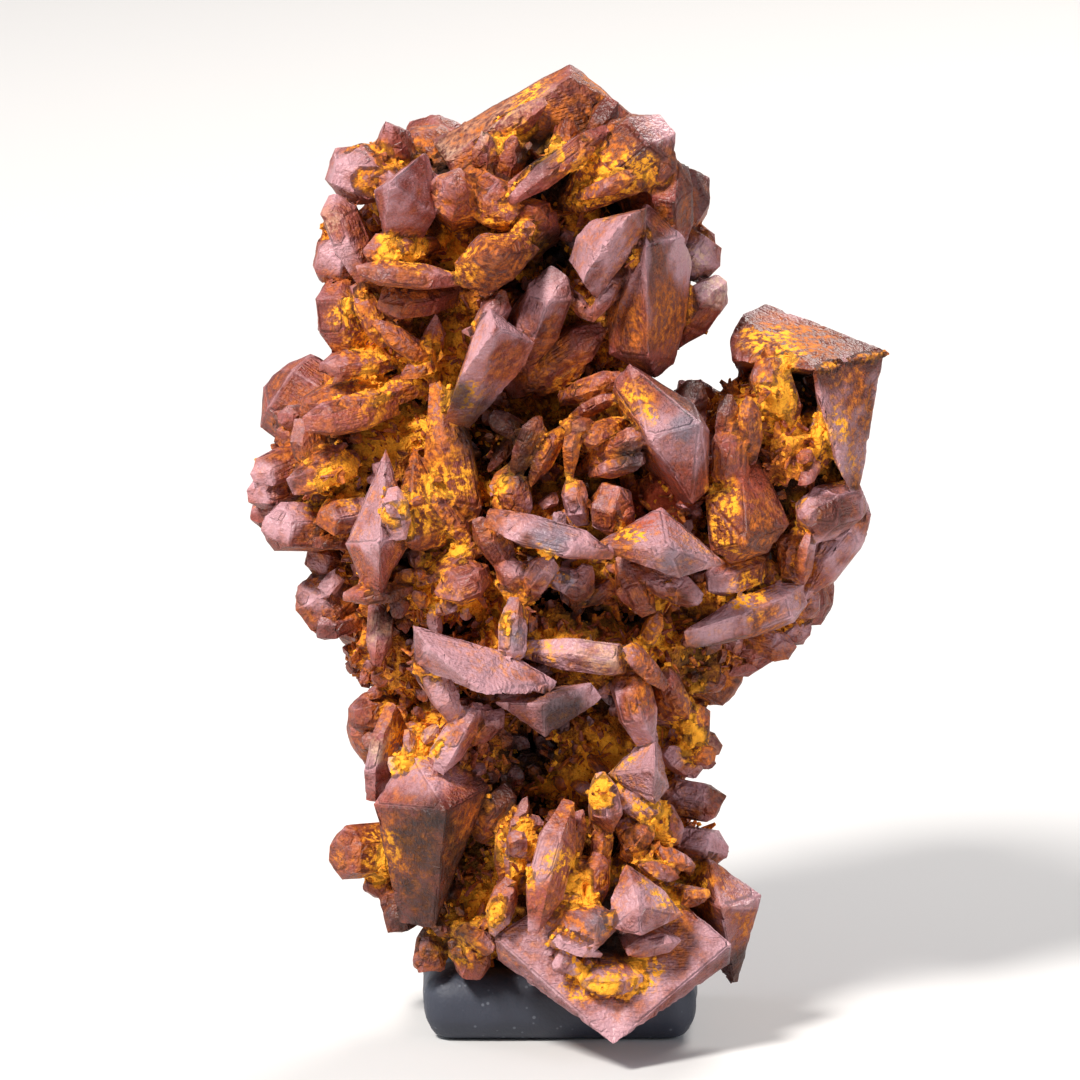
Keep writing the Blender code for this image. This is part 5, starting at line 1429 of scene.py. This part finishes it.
def crystal_finish(colours):
    """Fine-grained red-brown crystals, lilac at their edges from wear and painted highlight, with ochre
    powder between them and painted shade in their hollows.
    """
    f = Finish("crystals_and_ochre")
    here = f.place()
    powder, ridge, tint, frost = map(f.attribute, ("powder", "ridge", "tint", "frost"))
    ochre, lilac, cream, steel, red = map(f.attribute, ("ochre", "lilac", "cream", "steel", "red"))
    near, far, sky, bare, dark = map(f.attribute, ("near", "far", "sky", "bare", "dark"))
    stain = f.attribute("stain") + f.attribute("rusty") * 0.55
    broad = f.noise(here, 0.0052, 1)
    blotch = f.noise(here, 0.0016, 2)
    grain = f.noise(here, 0.00034, 1)
    dust = f.noise(here, 0.00075, 2, 0.7)

    strand = f.attribute("strand", "Vector")
    fibre = f.noise(strand, 0.26, 2, 0.65)
    lines = f.bands(ridge, 0.42)
    on_face = ridge.step(0.02, 0.25) * (1 - ridge.step(2.4, 3.0) * 0.5)

    body = (tint * 0.9 + broad * 1.1 + fibre * 0.5 - 0.80 - bare * 0.5).clamped()
    body = f.mix(body, colours["maroon"], colours["mauve"])
    body = f.mix(0.95, body, f.shade(0.10 + grain * 0.9 + fibre * 0.95), "MULTIPLY")
    # Pale lilac: partly wear and frost, partly painted highlight on edges, proud parts, the listed lilac
    # spots and faces turned to the lamps; less of it in crevices.
    edge = 1 - ridge.step(0.03, 0.35)
    proud = 1 - near.step(0.26, 0.50)
    pale = edge * 0.22 + proud * 0.20 + lilac * 0.95 + frost * 0.35 + sky * 0.45 - 0.78 - bare
    pale = (pale + broad.step(0.52, 0.70) * 0.25) * (0.15 + blotch * 0.9 + lines * 0.9)
    pale = pale * (0.4 + grain * 0.8 + fibre * 0.6)
    body = f.mix((pale * (1 - near.step(0.54, 0.76))).clamped(), body, colours["lilac"])
    body = f.mix((cream * (0.1 + blotch * 1.2) * dust.step(0.36, 0.62)).clamped(), body, colours["cream"])
    body = f.mix((steel * (0.1 + blotch * 1.1)).clamped(), body, colours["steel"])

    stained = powder.step(0.0, 0.2) * 0.8 + near.step(0.36, 0.60) * 1.0 + ochre * 0.6 + stain * 0.95
    stained = stained * (dust.step(0.28, 0.60) + (blotch - 0.45) * 0.9)
    stained = stained * (1 - steel * 0.8) * (1 - lilac * 0.85)
    rusty = f.mix(dust.step(0.35, 0.70), tuple(0.45 * part for part in colours["rust"]), colours["rust"])
    rusty = f.mix((red * 1.2).clamped(), rusty, colours["brick"])
    body = f.mix((stained * 0.95).clamped(), body, rusty)

    # Bright ochre in its spots and noise; less of it deep in the hollows, where it turns to darker rust:
    # painted shade.
    bright = ochre * 0.9 + stain * 0.30 + broad * 0.9 + dust * 1.5 - 1.32 - far.step(0.66, 0.86) * 0.8
    bright = (bright - red * 0.8).step(-0.1, 0.8)
    crust = f.mix(bright, rusty, colours["ochre"])
    crust = f.mix(0.7, crust, f.shade(0.55 + grain * 0.6 + dust * 0.4), "MULTIPLY")
    covered = (powder + (dust - 0.5) * 0.36 + (blotch - 0.5) * 0.24 + ochre * 0.10).step(0.07, 0.27)
    sprinkled = ((ochre + stain * 0.7) * dust.step(0.45, 0.62) * near.step(0.33, 0.48)).clamped()
    covered = (covered + sprinkled).clamped()
    colour = f.mix(covered, body, crust)
    # Painted shade: the colour is made darker deep in the hollows (far) and on the listed dark flanks and
    # clefts.
    hollow = (1 - far.step(0.53, 0.83) * 0.94) * (1 - dark * 0.80)
    colour = f.mix(1.0, colour, f.shade(hollow), "MULTIPLY")

    crusty = powder.step(0.1, 0.3)
    height = (fibre * 0.9 + lines * 0.5) * on_face * (1 - crusty) + grain * 0.5 + dust * (0.3 + crusty * 1.2)
    return f.finished(
        Base_Color=colour,
        Roughness=0.34 + covered * 0.5 + stained.clamped() * 0.2 + grain * 0.2,
        Normal=f.bump(height, 0.00042),
    )


def slate_finish(colours):
    """Dark blue-grey, satin, with a fine pale dust."""
    f = Finish("dark_slate")
    here = f.place()
    broad = f.noise(here, 0.007, 3)
    specks = 1 - f.cells(here, 0.0011).step(0.10, 0.20)
    colour = f.mix(broad, colours["slate"], tuple(1.9 * part for part in colours["slate"]))
    colour = f.mix(specks * 0.30, colour, (0.30, 0.33, 0.38))
    grain = f.noise(here, 0.0004, 2)
    return f.finished(
        Base_Color=colour, Roughness=0.46 + broad * 0.2, Normal=f.bump(grain + broad, 0.00006)
    )


def floor_finish(colours):
    f = Finish("pale_floor")
    soft = f.noise(f.place(), 0.25, 3)
    colour = f.mix(soft * 0.3, colours["floor"], tuple(0.94 * part for part in colours["floor"]))
    return f.finished(Base_Color=colour, Roughness=0.85)


def scatter_tree(name, shape, looks):
    """A Geometry Nodes tree that sets one small solid on each point, turned by its facing."""
    tree = bpy.data.node_groups.new(name, "GeometryNodeTree")
    tree.is_modifier = True
    tree.interface.new_socket("Geometry", in_out="INPUT", socket_type="NodeSocketGeometry")
    for label, kind in (
        ("Size", "NodeSocketFloat"),
        ("Lean", "NodeSocketFloat"),
        ("Roughen", "NodeSocketFloat"),
        ("Seed", "NodeSocketInt"),
        ("Finish", "NodeSocketMaterial"),
    ):
        tree.interface.new_socket(label, in_out="INPUT", socket_type=kind)
    tree.interface.new_socket("Geometry", in_out="OUTPUT", socket_type="NodeSocketGeometry")

    def node(kind, settings=None, inputs=None):
        new = tree.nodes.new(kind)
        for setting, value in (settings or {}).items():
            setattr(new, setting, value)
        for key, value in (inputs or {}).items():
            if isinstance(value, bpy.types.NodeSocket):
                tree.links.new(value, new.inputs[key])
            else:
                new.inputs[key].default_value = value
        return new

    def scaled(vector, size):
        return node("ShaderNodeVectorMath", {"operation": "SCALE"}, {0: vector, "Scale": size})

    def point_data(name, kind):
        return node("GeometryNodeInputNamedAttribute", {"data_type": kind}, {"Name": name}).outputs[0]

    given = node("NodeGroupInput").outputs
    solid = shape(node)
    facing, size = point_data("facing", "FLOAT_VECTOR"), point_data("size", "FLOAT")
    turned = node("FunctionNodeAlignRotationToVector", {"axis": "Z"}, {"Vector": facing})
    lean = node("FunctionNodeRandomValue", {"data_type": "FLOAT_VECTOR"}, {"Seed": given["Seed"]})
    lean.inputs[0].default_value = (-1, -1, -3)
    lean.inputs[1].default_value = (1, 1, 3)
    leaning = scaled(lean.outputs[0], given["Lean"])
    tilt = node("FunctionNodeEulerToRotation", {}, {0: leaning.outputs[0]})
    turns = {0: turned.outputs[0], 1: tilt.outputs[0]}
    rotation = node("FunctionNodeRotateRotation", {"rotation_space": "LOCAL"}, turns)
    scale = node("ShaderNodeMath", {"operation": "MULTIPLY"}, {0: size, 1: given["Size"]})
    points = node("GeometryNodeMeshToPoints", {}, {"Mesh": given["Geometry"]})
    inputs = {"Points": points.outputs[0], "Instance": solid, "Rotation": rotation.outputs[0]}
    inputs["Scale"] = scale.outputs[0]
    flow = node("GeometryNodeInstanceOnPoints", {}, inputs).outputs[0]
    for number, (look, low, high) in enumerate(looks):
        random_look = node("FunctionNodeRandomValue", {"data_type": "FLOAT"}, {"Seed": number + 11})
        random_look.inputs[2].default_value = low
        random_look.inputs[3].default_value = high
        stored = node(
            "GeometryNodeStoreNamedAttribute",
            {"data_type": "FLOAT", "domain": "INSTANCE"},
            {"Geometry": flow, "Name": look, "Value": random_look.outputs[1]},
        )
        flow = stored.outputs[0]
    real = node("GeometryNodeRealizeInstances", {}, {0: flow})
    rough = node("ShaderNodeTexNoise", {}, {"Scale": 2600.0, "Detail": 1.0})
    centred = node("ShaderNodeVectorMath", {"operation": "SUBTRACT"}, {0: rough.outputs["Color"]})
    centred.inputs[1].default_value = (0.5, 0.5, 0.5)
    shift = scaled(centred.outputs[0], given["Roughen"])
    moved = node("GeometryNodeSetPosition", {}, {"Geometry": real.outputs[0], "Offset": shift.outputs[0]})
    named = node("GeometryNodeSetMaterial", {}, {"Geometry": moved.outputs[0], "Material": given["Finish"]})
    tree.links.new(named.outputs[0], node("NodeGroupOutput").inputs[0])
    return tree


def crumb_shape(node):
    return node("GeometryNodeMeshCube", {}, {"Size": (0.8, 0.7, 0.6)}).outputs["Mesh"]


def crystal_shape(node):
    cone = node(
        "GeometryNodeMeshCone",
        {"fill_type": "NGON"},
        {"Vertices": 5, "Radius Top": 0.16, "Radius Bottom": 0.42, "Depth": 1.35},
    )
    flat = node("GeometryNodeTransform", {}, {"Geometry": cone.outputs["Mesh"], "Scale": (1, 0.5, 1)})
    sunk = node("GeometryNodeTransform", {}, {"Geometry": flat.outputs[0], "Translation": (0, 0, -0.35)})
    return sunk.outputs[0]


def strew(context, name, tree, points, facing, sizes, inputs):
    """Points that carry a scatter tree, turned into one plain mesh of the specimen."""
    inputs["Finish"] = finish(context, "crystals_and_ochre", crystal_finish)
    mesh = bpy.data.meshes.new(name + "_places")
    mesh.vertices.add(len(points))
    mesh.vertices.foreach_set("co", (points * MM).astype(np.float32).ravel())
    facings = mesh.attributes.new("facing", "FLOAT_VECTOR", "POINT")
    facings.data.foreach_set("vector", facing.astype(np.float32).ravel())
    mesh.attributes.new("size", "FLOAT", "POINT").data.foreach_set("value", sizes.astype(np.float32))
    obj = bpy.data.objects.new(name, mesh)
    bpy.context.scene.collection.objects.link(obj)
    modifier = obj.modifiers.new("scatter", "NODES")
    modifier.node_group = tree
    for socket in tree.interface.items_tree:
        if socket.in_out == "INPUT" and socket.name in inputs:
            modifier[socket.identifier] = inputs[socket.name]
    depsgraph = bpy.context.evaluated_depsgraph_get()
    real = bpy.data.meshes.new_from_object(obj.evaluated_get(depsgraph))
    obj.modifiers.clear()
    obj.data = real
    settle(obj, "crystal_cluster")
    return {"FINISHED"}


def length(name, description, default):
    """A size that a user can change, from its default in mm."""
    return FloatProperty(name=name, description=description, default=default * MM, unit="LENGTH")


def colour(name, description):
    """A colour that a user can change."""
    return FloatVectorProperty(
        name=name, description=description, default=DEFAULTS[name.lower()], subtype="COLOR", min=0, max=1
    )


class SpecimenSizes(bpy.types.PropertyGroup):
    """Sizes of the specimen's surface."""

    grid_step: length("Grid step", "Spacing of the surface's points", 0.42)
    worn_edge: length("Worn edge", "How far a crystal's edges are rounded", 0.08)
    thin_fill: length("Thin fill", "Reach of the powder where it is thinnest", 0.20)
    thick_fill: length("Thick fill", "Reach of the powder where it is thickest", 1.35)
    grain_height: length("Grain height", "How coarse the powder's crust is", 0.75)
    groove_depth: length("Groove depth", "Depth of the grooves along a crystal", 0.08)
    panel_depth: length("Panel depth", "How far some faces are sunk within their rim", 0.12)
    pit_depth: length("Pit depth", "Depth of the pits in the faces", 0.16)
    fragment_count: IntProperty(
        name="Fragments", description="Small crystals that fill the crevices", default=2600, min=0
    )
    crumb_count: IntProperty(name="Crumbs", description="Loose grains of ochre", default=4000, min=0)
    crumb_size: length("Crumb size", "Width of a loose grain of ochre", 0.42)
    bud_count: IntProperty(name="Small crystals", description="Crystals on the matrix", default=4200, min=0)
    bud_size: length("Small crystal size", "Width of a small crystal", 1.35)


class SpecimenColours(bpy.types.PropertyGroup):
    """Colours of the specimen, its base and the floor."""

    mauve: colour("Mauve", "Lighter crystals")
    maroon: colour("Maroon", "Darker crystals")
    # Lilac also stands for painted highlight on edges and faces that catch the light.
    lilac: colour("Lilac", "Worn edges and frosted faces")
    steel: colour("Steel", "Blue-grey patches")
    rust: colour("Rust", "Stains and old powder")
    brick: colour("Brick", "The patch of red crumbs")
    ochre: colour("Ochre", "Bright powder")
    # Cream also stands for the painted highlight on the crown's bevel.
    cream: colour("Cream", "Pale flakes")
    slate: colour("Slate", "The base")
    floor: colour("Floor", "The floor of the stage")


def finish(context, name, make):
    """A material, made from the chosen colours on its first use."""
    chosen = context.scene.specimen_colours
    return bpy.data.materials.get(name) or make({key: tuple(getattr(chosen, key)) for key in DEFAULTS})


made = {}


def growth(context):
    """The grid of distances, made on its first use."""
    if "growth" not in made:
        made["growth"] = Growth(context.scene.specimen_sizes)
        made["skins"] = {}
    return made["growth"]


def read_vectors(mesh, kind):
    """The places or normals of a mesh's points, one row for each."""
    values = np.empty(len(mesh.vertices) * 3, dtype=np.float32)
    mesh.vertices.foreach_get(kind, values)
    return values.reshape(-1, 3)


def grow_piece(context, name):
    """One group of crystals as a piece of the specimen."""
    points, quads, triangles, looks = piece_surface(growth(context), name, context.scene.specimen_sizes)
    piece = mesh_piece(name, points, quads, triangles, looks)
    piece.data.materials.append(finish(context, "crystals_and_ochre", crystal_finish))
    normals = read_vectors(piece.data, "normal")
    # How far each point faces those directions: pale dust and painted highlight.
    sky = (normals @ np.array(DUST_AND_HIGHLIGHT_FROM, dtype=np.float32).T).max(axis=1)
    piece.data.attributes.new("sky", "FLOAT", "POINT").data.foreach_set("value", sky)
    made["skins"][name] = (points, normals, looks)
    settle(piece, "crystal_cluster")
    return {"FINISHED"}


def settle(piece, node):
    """Tie a piece to the frame."""
    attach(piece, "root")
    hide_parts(node)


def all_skins():
    """Points, normals and looks of every piece grown so far, in one."""
    skins = list(made["skins"].values())
    points = np.concatenate([skin[0] for skin in skins])
    normals = np.concatenate([skin[1] for skin in skins])
    looks = {look: np.concatenate([skin[2][look] for skin in skins]) for look in skins[0][2]}
    return points, normals, looks


def ground(context, limits):
    """The points with enough powder, not deep in a hollow, and in the open just above the surface."""
    points, normals, looks = all_skins()
    grown = growth(context)
    above, clear = OPEN_ABOVE
    in_open = grown.sample(grown.field, points + above * normals) > clear
    return np.flatnonzero((looks["powder"] > limits[0]) & (looks["far"] < limits[1]) & in_open)


class SPECIMEN_OT_crown(bpy.types.Operator):
    """Grow the crystals of the crown"""

    bl_idname = "specimen.crown"
    bl_label = "Crown crystals"

    def execute(self, context):
        return grow_piece(context, "crown_crystals")


class SPECIMEN_OT_shoulder(bpy.types.Operator):
    """Grow the crystals of the left shoulder"""

    bl_idname = "specimen.shoulder"
    bl_label = "Shoulder crystals"

    def execute(self, context):
        return grow_piece(context, "shoulder_crystals")


class SPECIMEN_OT_middle(bpy.types.Operator):
    """Grow the crystals of the middle"""

    bl_idname = "specimen.middle"
    bl_label = "Middle crystals"

    def execute(self, context):
        return grow_piece(context, "middle_crystals")


class SPECIMEN_OT_arm(bpy.types.Operator):
    """Grow the crystals of the right arm"""

    bl_idname = "specimen.arm"
    bl_label = "Arm crystals"

    def execute(self, context):
        return grow_piece(context, "arm_crystals")


class SPECIMEN_OT_waist(bpy.types.Operator):
    """Grow the crystals of the waist"""

    bl_idname = "specimen.waist"
    bl_label = "Waist crystals"

    def execute(self, context):
        return grow_piece(context, "waist_crystals")


class SPECIMEN_OT_foot(bpy.types.Operator):
    """Grow the crystals of the foot, with the great dished one"""

    bl_idname = "specimen.foot"
    bl_label = "Foot crystals"

    def execute(self, context):
        return grow_piece(context, "foot_crystals")


class SPECIMEN_OT_back(bpy.types.Operator):
    """Grow the crystals of the back and the flanks, high and low"""

    bl_idname = "specimen.back"
    bl_label = "Back crystals"

    def execute(self, context):
        grow_piece(context, "high_back_crystals")
        return grow_piece(context, "low_back_crystals")


class SPECIMEN_OT_buds(bpy.types.Operator):
    """Set small crystals on the rough matrix"""

    bl_idname = "specimen.buds"
    bl_label = "Small crystals"

    def execute(self, context):
        sizes = context.scene.specimen_sizes
        points, normals, _ = all_skins()
        rng = np.random.default_rng(GROWTH_SEED + 2)
        chosen = rng.choice(ground(context, BUD_GROUND), sizes.bud_count, replace=False)
        widths = rng.uniform(*BUD_WIDTHS, len(chosen)) ** 1.5
        tree = scatter_tree("small_crystals_on_matrix", crystal_shape, BUD_LOOKS)
        inputs = {"Size": sizes.bud_size, "Lean": 1.2, "Roughen": 0.0002, "Seed": 3}
        return strew(context, "small_crystals", tree, points[chosen], normals[chosen], widths, inputs)


class SPECIMEN_OT_crumbs(bpy.types.Operator):
    """Strew loose grains of ochre over the crust"""

    bl_idname = "specimen.crumbs"
    bl_label = "Ochre crumbs"

    def execute(self, context):
        sizes = context.scene.specimen_sizes
        points, normals, looks = all_skins()
        rng = np.random.default_rng(GROWTH_SEED + 3)
        wanted = ground(context, CRUMB_GROUND)
        weight = 0.15 + looks["ochre"][wanted] + smooth_step(noise_at(points[wanted], 3.5, 9), 0.0, 0.7)
        chosen = rng.choice(wanted, sizes.crumb_count, replace=False, p=weight / weight.sum())
        widths = rng.uniform(*CRUMB_WIDTHS, len(chosen))
        tree = scatter_tree("crumbs_on_crust", crumb_shape, CRUMB_LOOKS)
        inputs = {"Size": sizes.crumb_size, "Lean": 1.5, "Roughen": 0.0004, "Seed": 5}
        return strew(context, "ochre_crumbs", tree, points[chosen], normals[chosen], widths, inputs)


class SPECIMEN_OT_base(bpy.types.Operator):
    """Make the dark base: a block with rounded edges and a slightly uneven skin"""

    bl_idname = "specimen.base"
    bl_label = "Base"

    def execute(self, context):
        bm = bmesh.new()
        bmesh.ops.create_cube(bm, size=1)
        size = BASE_HIGH - BASE_LOW
        bmesh.ops.scale(bm, vec=size, verts=bm.verts)
        bmesh.ops.translate(bm, vec=(BASE_LOW + BASE_HIGH) / 2, verts=bm.verts)
        rounding = {"offset": BASE_ROUNDING, "segments": 6, "profile": 0.5, "clamp_overlap": True}
        bmesh.ops.bevel(bm, geom=bm.edges[:], affect="EDGES", **rounding)
        bmesh.ops.triangulate(bm, faces=[face for face in bm.faces if len(face.verts) > 4])
        mesh = bpy.data.meshes.new("base_block")
        bm.to_mesh(mesh)
        bm.free()
        block = bpy.data.objects.new("base_block", mesh)
        context.scene.collection.objects.link(block)
        remesh = block.modifiers.new("even", "REMESH")
        remesh.mode = "VOXEL"
        remesh.voxel_size = BASE_STEP
        depsgraph = context.evaluated_depsgraph_get()
        fine = bpy.data.meshes.new_from_object(block.evaluated_get(depsgraph))
        block.modifiers.clear()
        block.data = fine
        points, normals = read_vectors(fine, "co") / MM, read_vectors(fine, "normal")
        dents = sum(deep * noise_at(points, wide, seed) for deep, wide, seed in BASE_DENTS) - BASE_SUNK
        clear = smooth_step(points[:, 2], 0.1, 1.5)
        points = points + normals * (dents * clear)[:, None]
        fine.vertices.foreach_set("co", (points * MM).astype(np.float32).ravel())
        fine.materials.clear()
        fine.materials.append(finish(context, "dark_slate", slate_finish))
        fine.shade_smooth()
        settle(block, "display_base")
        return {"FINISHED"}


class SPECIMEN_OT_stage(bpy.types.Operator):
    """Set up the floor, the soft lights and the camera"""

    bl_idname = "specimen.stage"
    bl_label = "Stage"

    def execute(self, context):
        scene = context.scene
        mesh = bpy.data.meshes.new("floor")
        bm = bmesh.new()
        bmesh.ops.create_circle(bm, cap_ends=True, segments=96, radius=FLOOR_RADIUS)
        bm.to_mesh(mesh)
        bm.free()
        floor = bpy.data.objects.new("floor", mesh)
        scene.collection.objects.link(floor)
        mesh.materials.append(finish(context, "pale_floor", floor_finish))
        world = bpy.data.worlds.new("studio")
        world.use_nodes = True
        background = world.node_tree.nodes["Background"]
        background.inputs["Color"].default_value = SKY_COLOUR
        background.inputs["Strength"].default_value = WORLD_STRENGTH
        scene.world = world
        for name, across, away, up, width, power, colour in LIGHTS:
            lamp = bpy.data.lights.new(name, "AREA")
            lamp.shape = "DISK"
            lamp.size = width
            lamp.energy = power
            lamp.color = colour
            light = bpy.data.objects.new(name, lamp)
            light.location = (across, away, up)
            aim = Vector((0, 0, LIGHT_AIM)) - light.location
            light.rotation_euler = aim.to_track_quat("-Z", "Y").to_euler()
            scene.collection.objects.link(light)
        lens = bpy.data.cameras.new("camera")
        lens.angle = 2 * math.atan(HALF_VIEW / CAMERA_DISTANCE)
        lens.clip_start = 0.01
        camera = bpy.data.objects.new("camera", lens)
        towards = Vector((0, -math.cos(VIEW_TILT), math.sin(VIEW_TILT)))
        camera.location = place(*VIEW_CENTRE) * MM + towards * CAMERA_DISTANCE
        camera.rotation_euler = (-towards).to_track_quat("-Z", "Y").to_euler()
        scene.collection.objects.link(camera)
        scene.camera = camera
        scene.view_settings.view_transform = "Standard"
        return {"FINISHED"}


OPERATORS = (
    SPECIMEN_OT_stage,
    SPECIMEN_OT_crown,
    SPECIMEN_OT_shoulder,
    SPECIMEN_OT_middle,
    SPECIMEN_OT_arm,
    SPECIMEN_OT_waist,
    SPECIMEN_OT_foot,
    SPECIMEN_OT_back,
    SPECIMEN_OT_buds,
    SPECIMEN_OT_crumbs,
    SPECIMEN_OT_base,
)


class SPECIMEN_PT_panel(bpy.types.Panel):
    """Lists what the specimen is made of"""

    bl_idname = "SPECIMEN_PT_panel"
    bl_label = "Specimen"
    bl_space_type = "VIEW_3D"
    bl_region_type = "UI"
    bl_category = "Specimen"

    def draw(self, context):
        for group in (context.scene.specimen_sizes, context.scene.specimen_colours):
            for key in group.bl_rna.properties.keys():
                if key not in ("rna_type", "name"):
                    self.layout.prop(group, key)
        for operator in OPERATORS:
            self.layout.operator(operator.bl_idname)


CLASSES = (SpecimenSizes, SpecimenColours, *OPERATORS, SPECIMEN_PT_panel)


def register():
    for cls in CLASSES:
        bpy.utils.register_class(cls)
    bpy.types.Scene.specimen_sizes = PointerProperty(type=SpecimenSizes)
    bpy.types.Scene.specimen_colours = PointerProperty(type=SpecimenColours)


def unregister():
    del bpy.types.Scene.specimen_colours
    del bpy.types.Scene.specimen_sizes
    for cls in reversed(CLASSES):
        bpy.utils.unregister_class(cls)


def main():
    register()
    for operator in OPERATORS:
        group, name = operator.bl_idname.split(".")
        getattr(getattr(bpy.ops, group), name)()


if __name__ == "__main__":
    main()
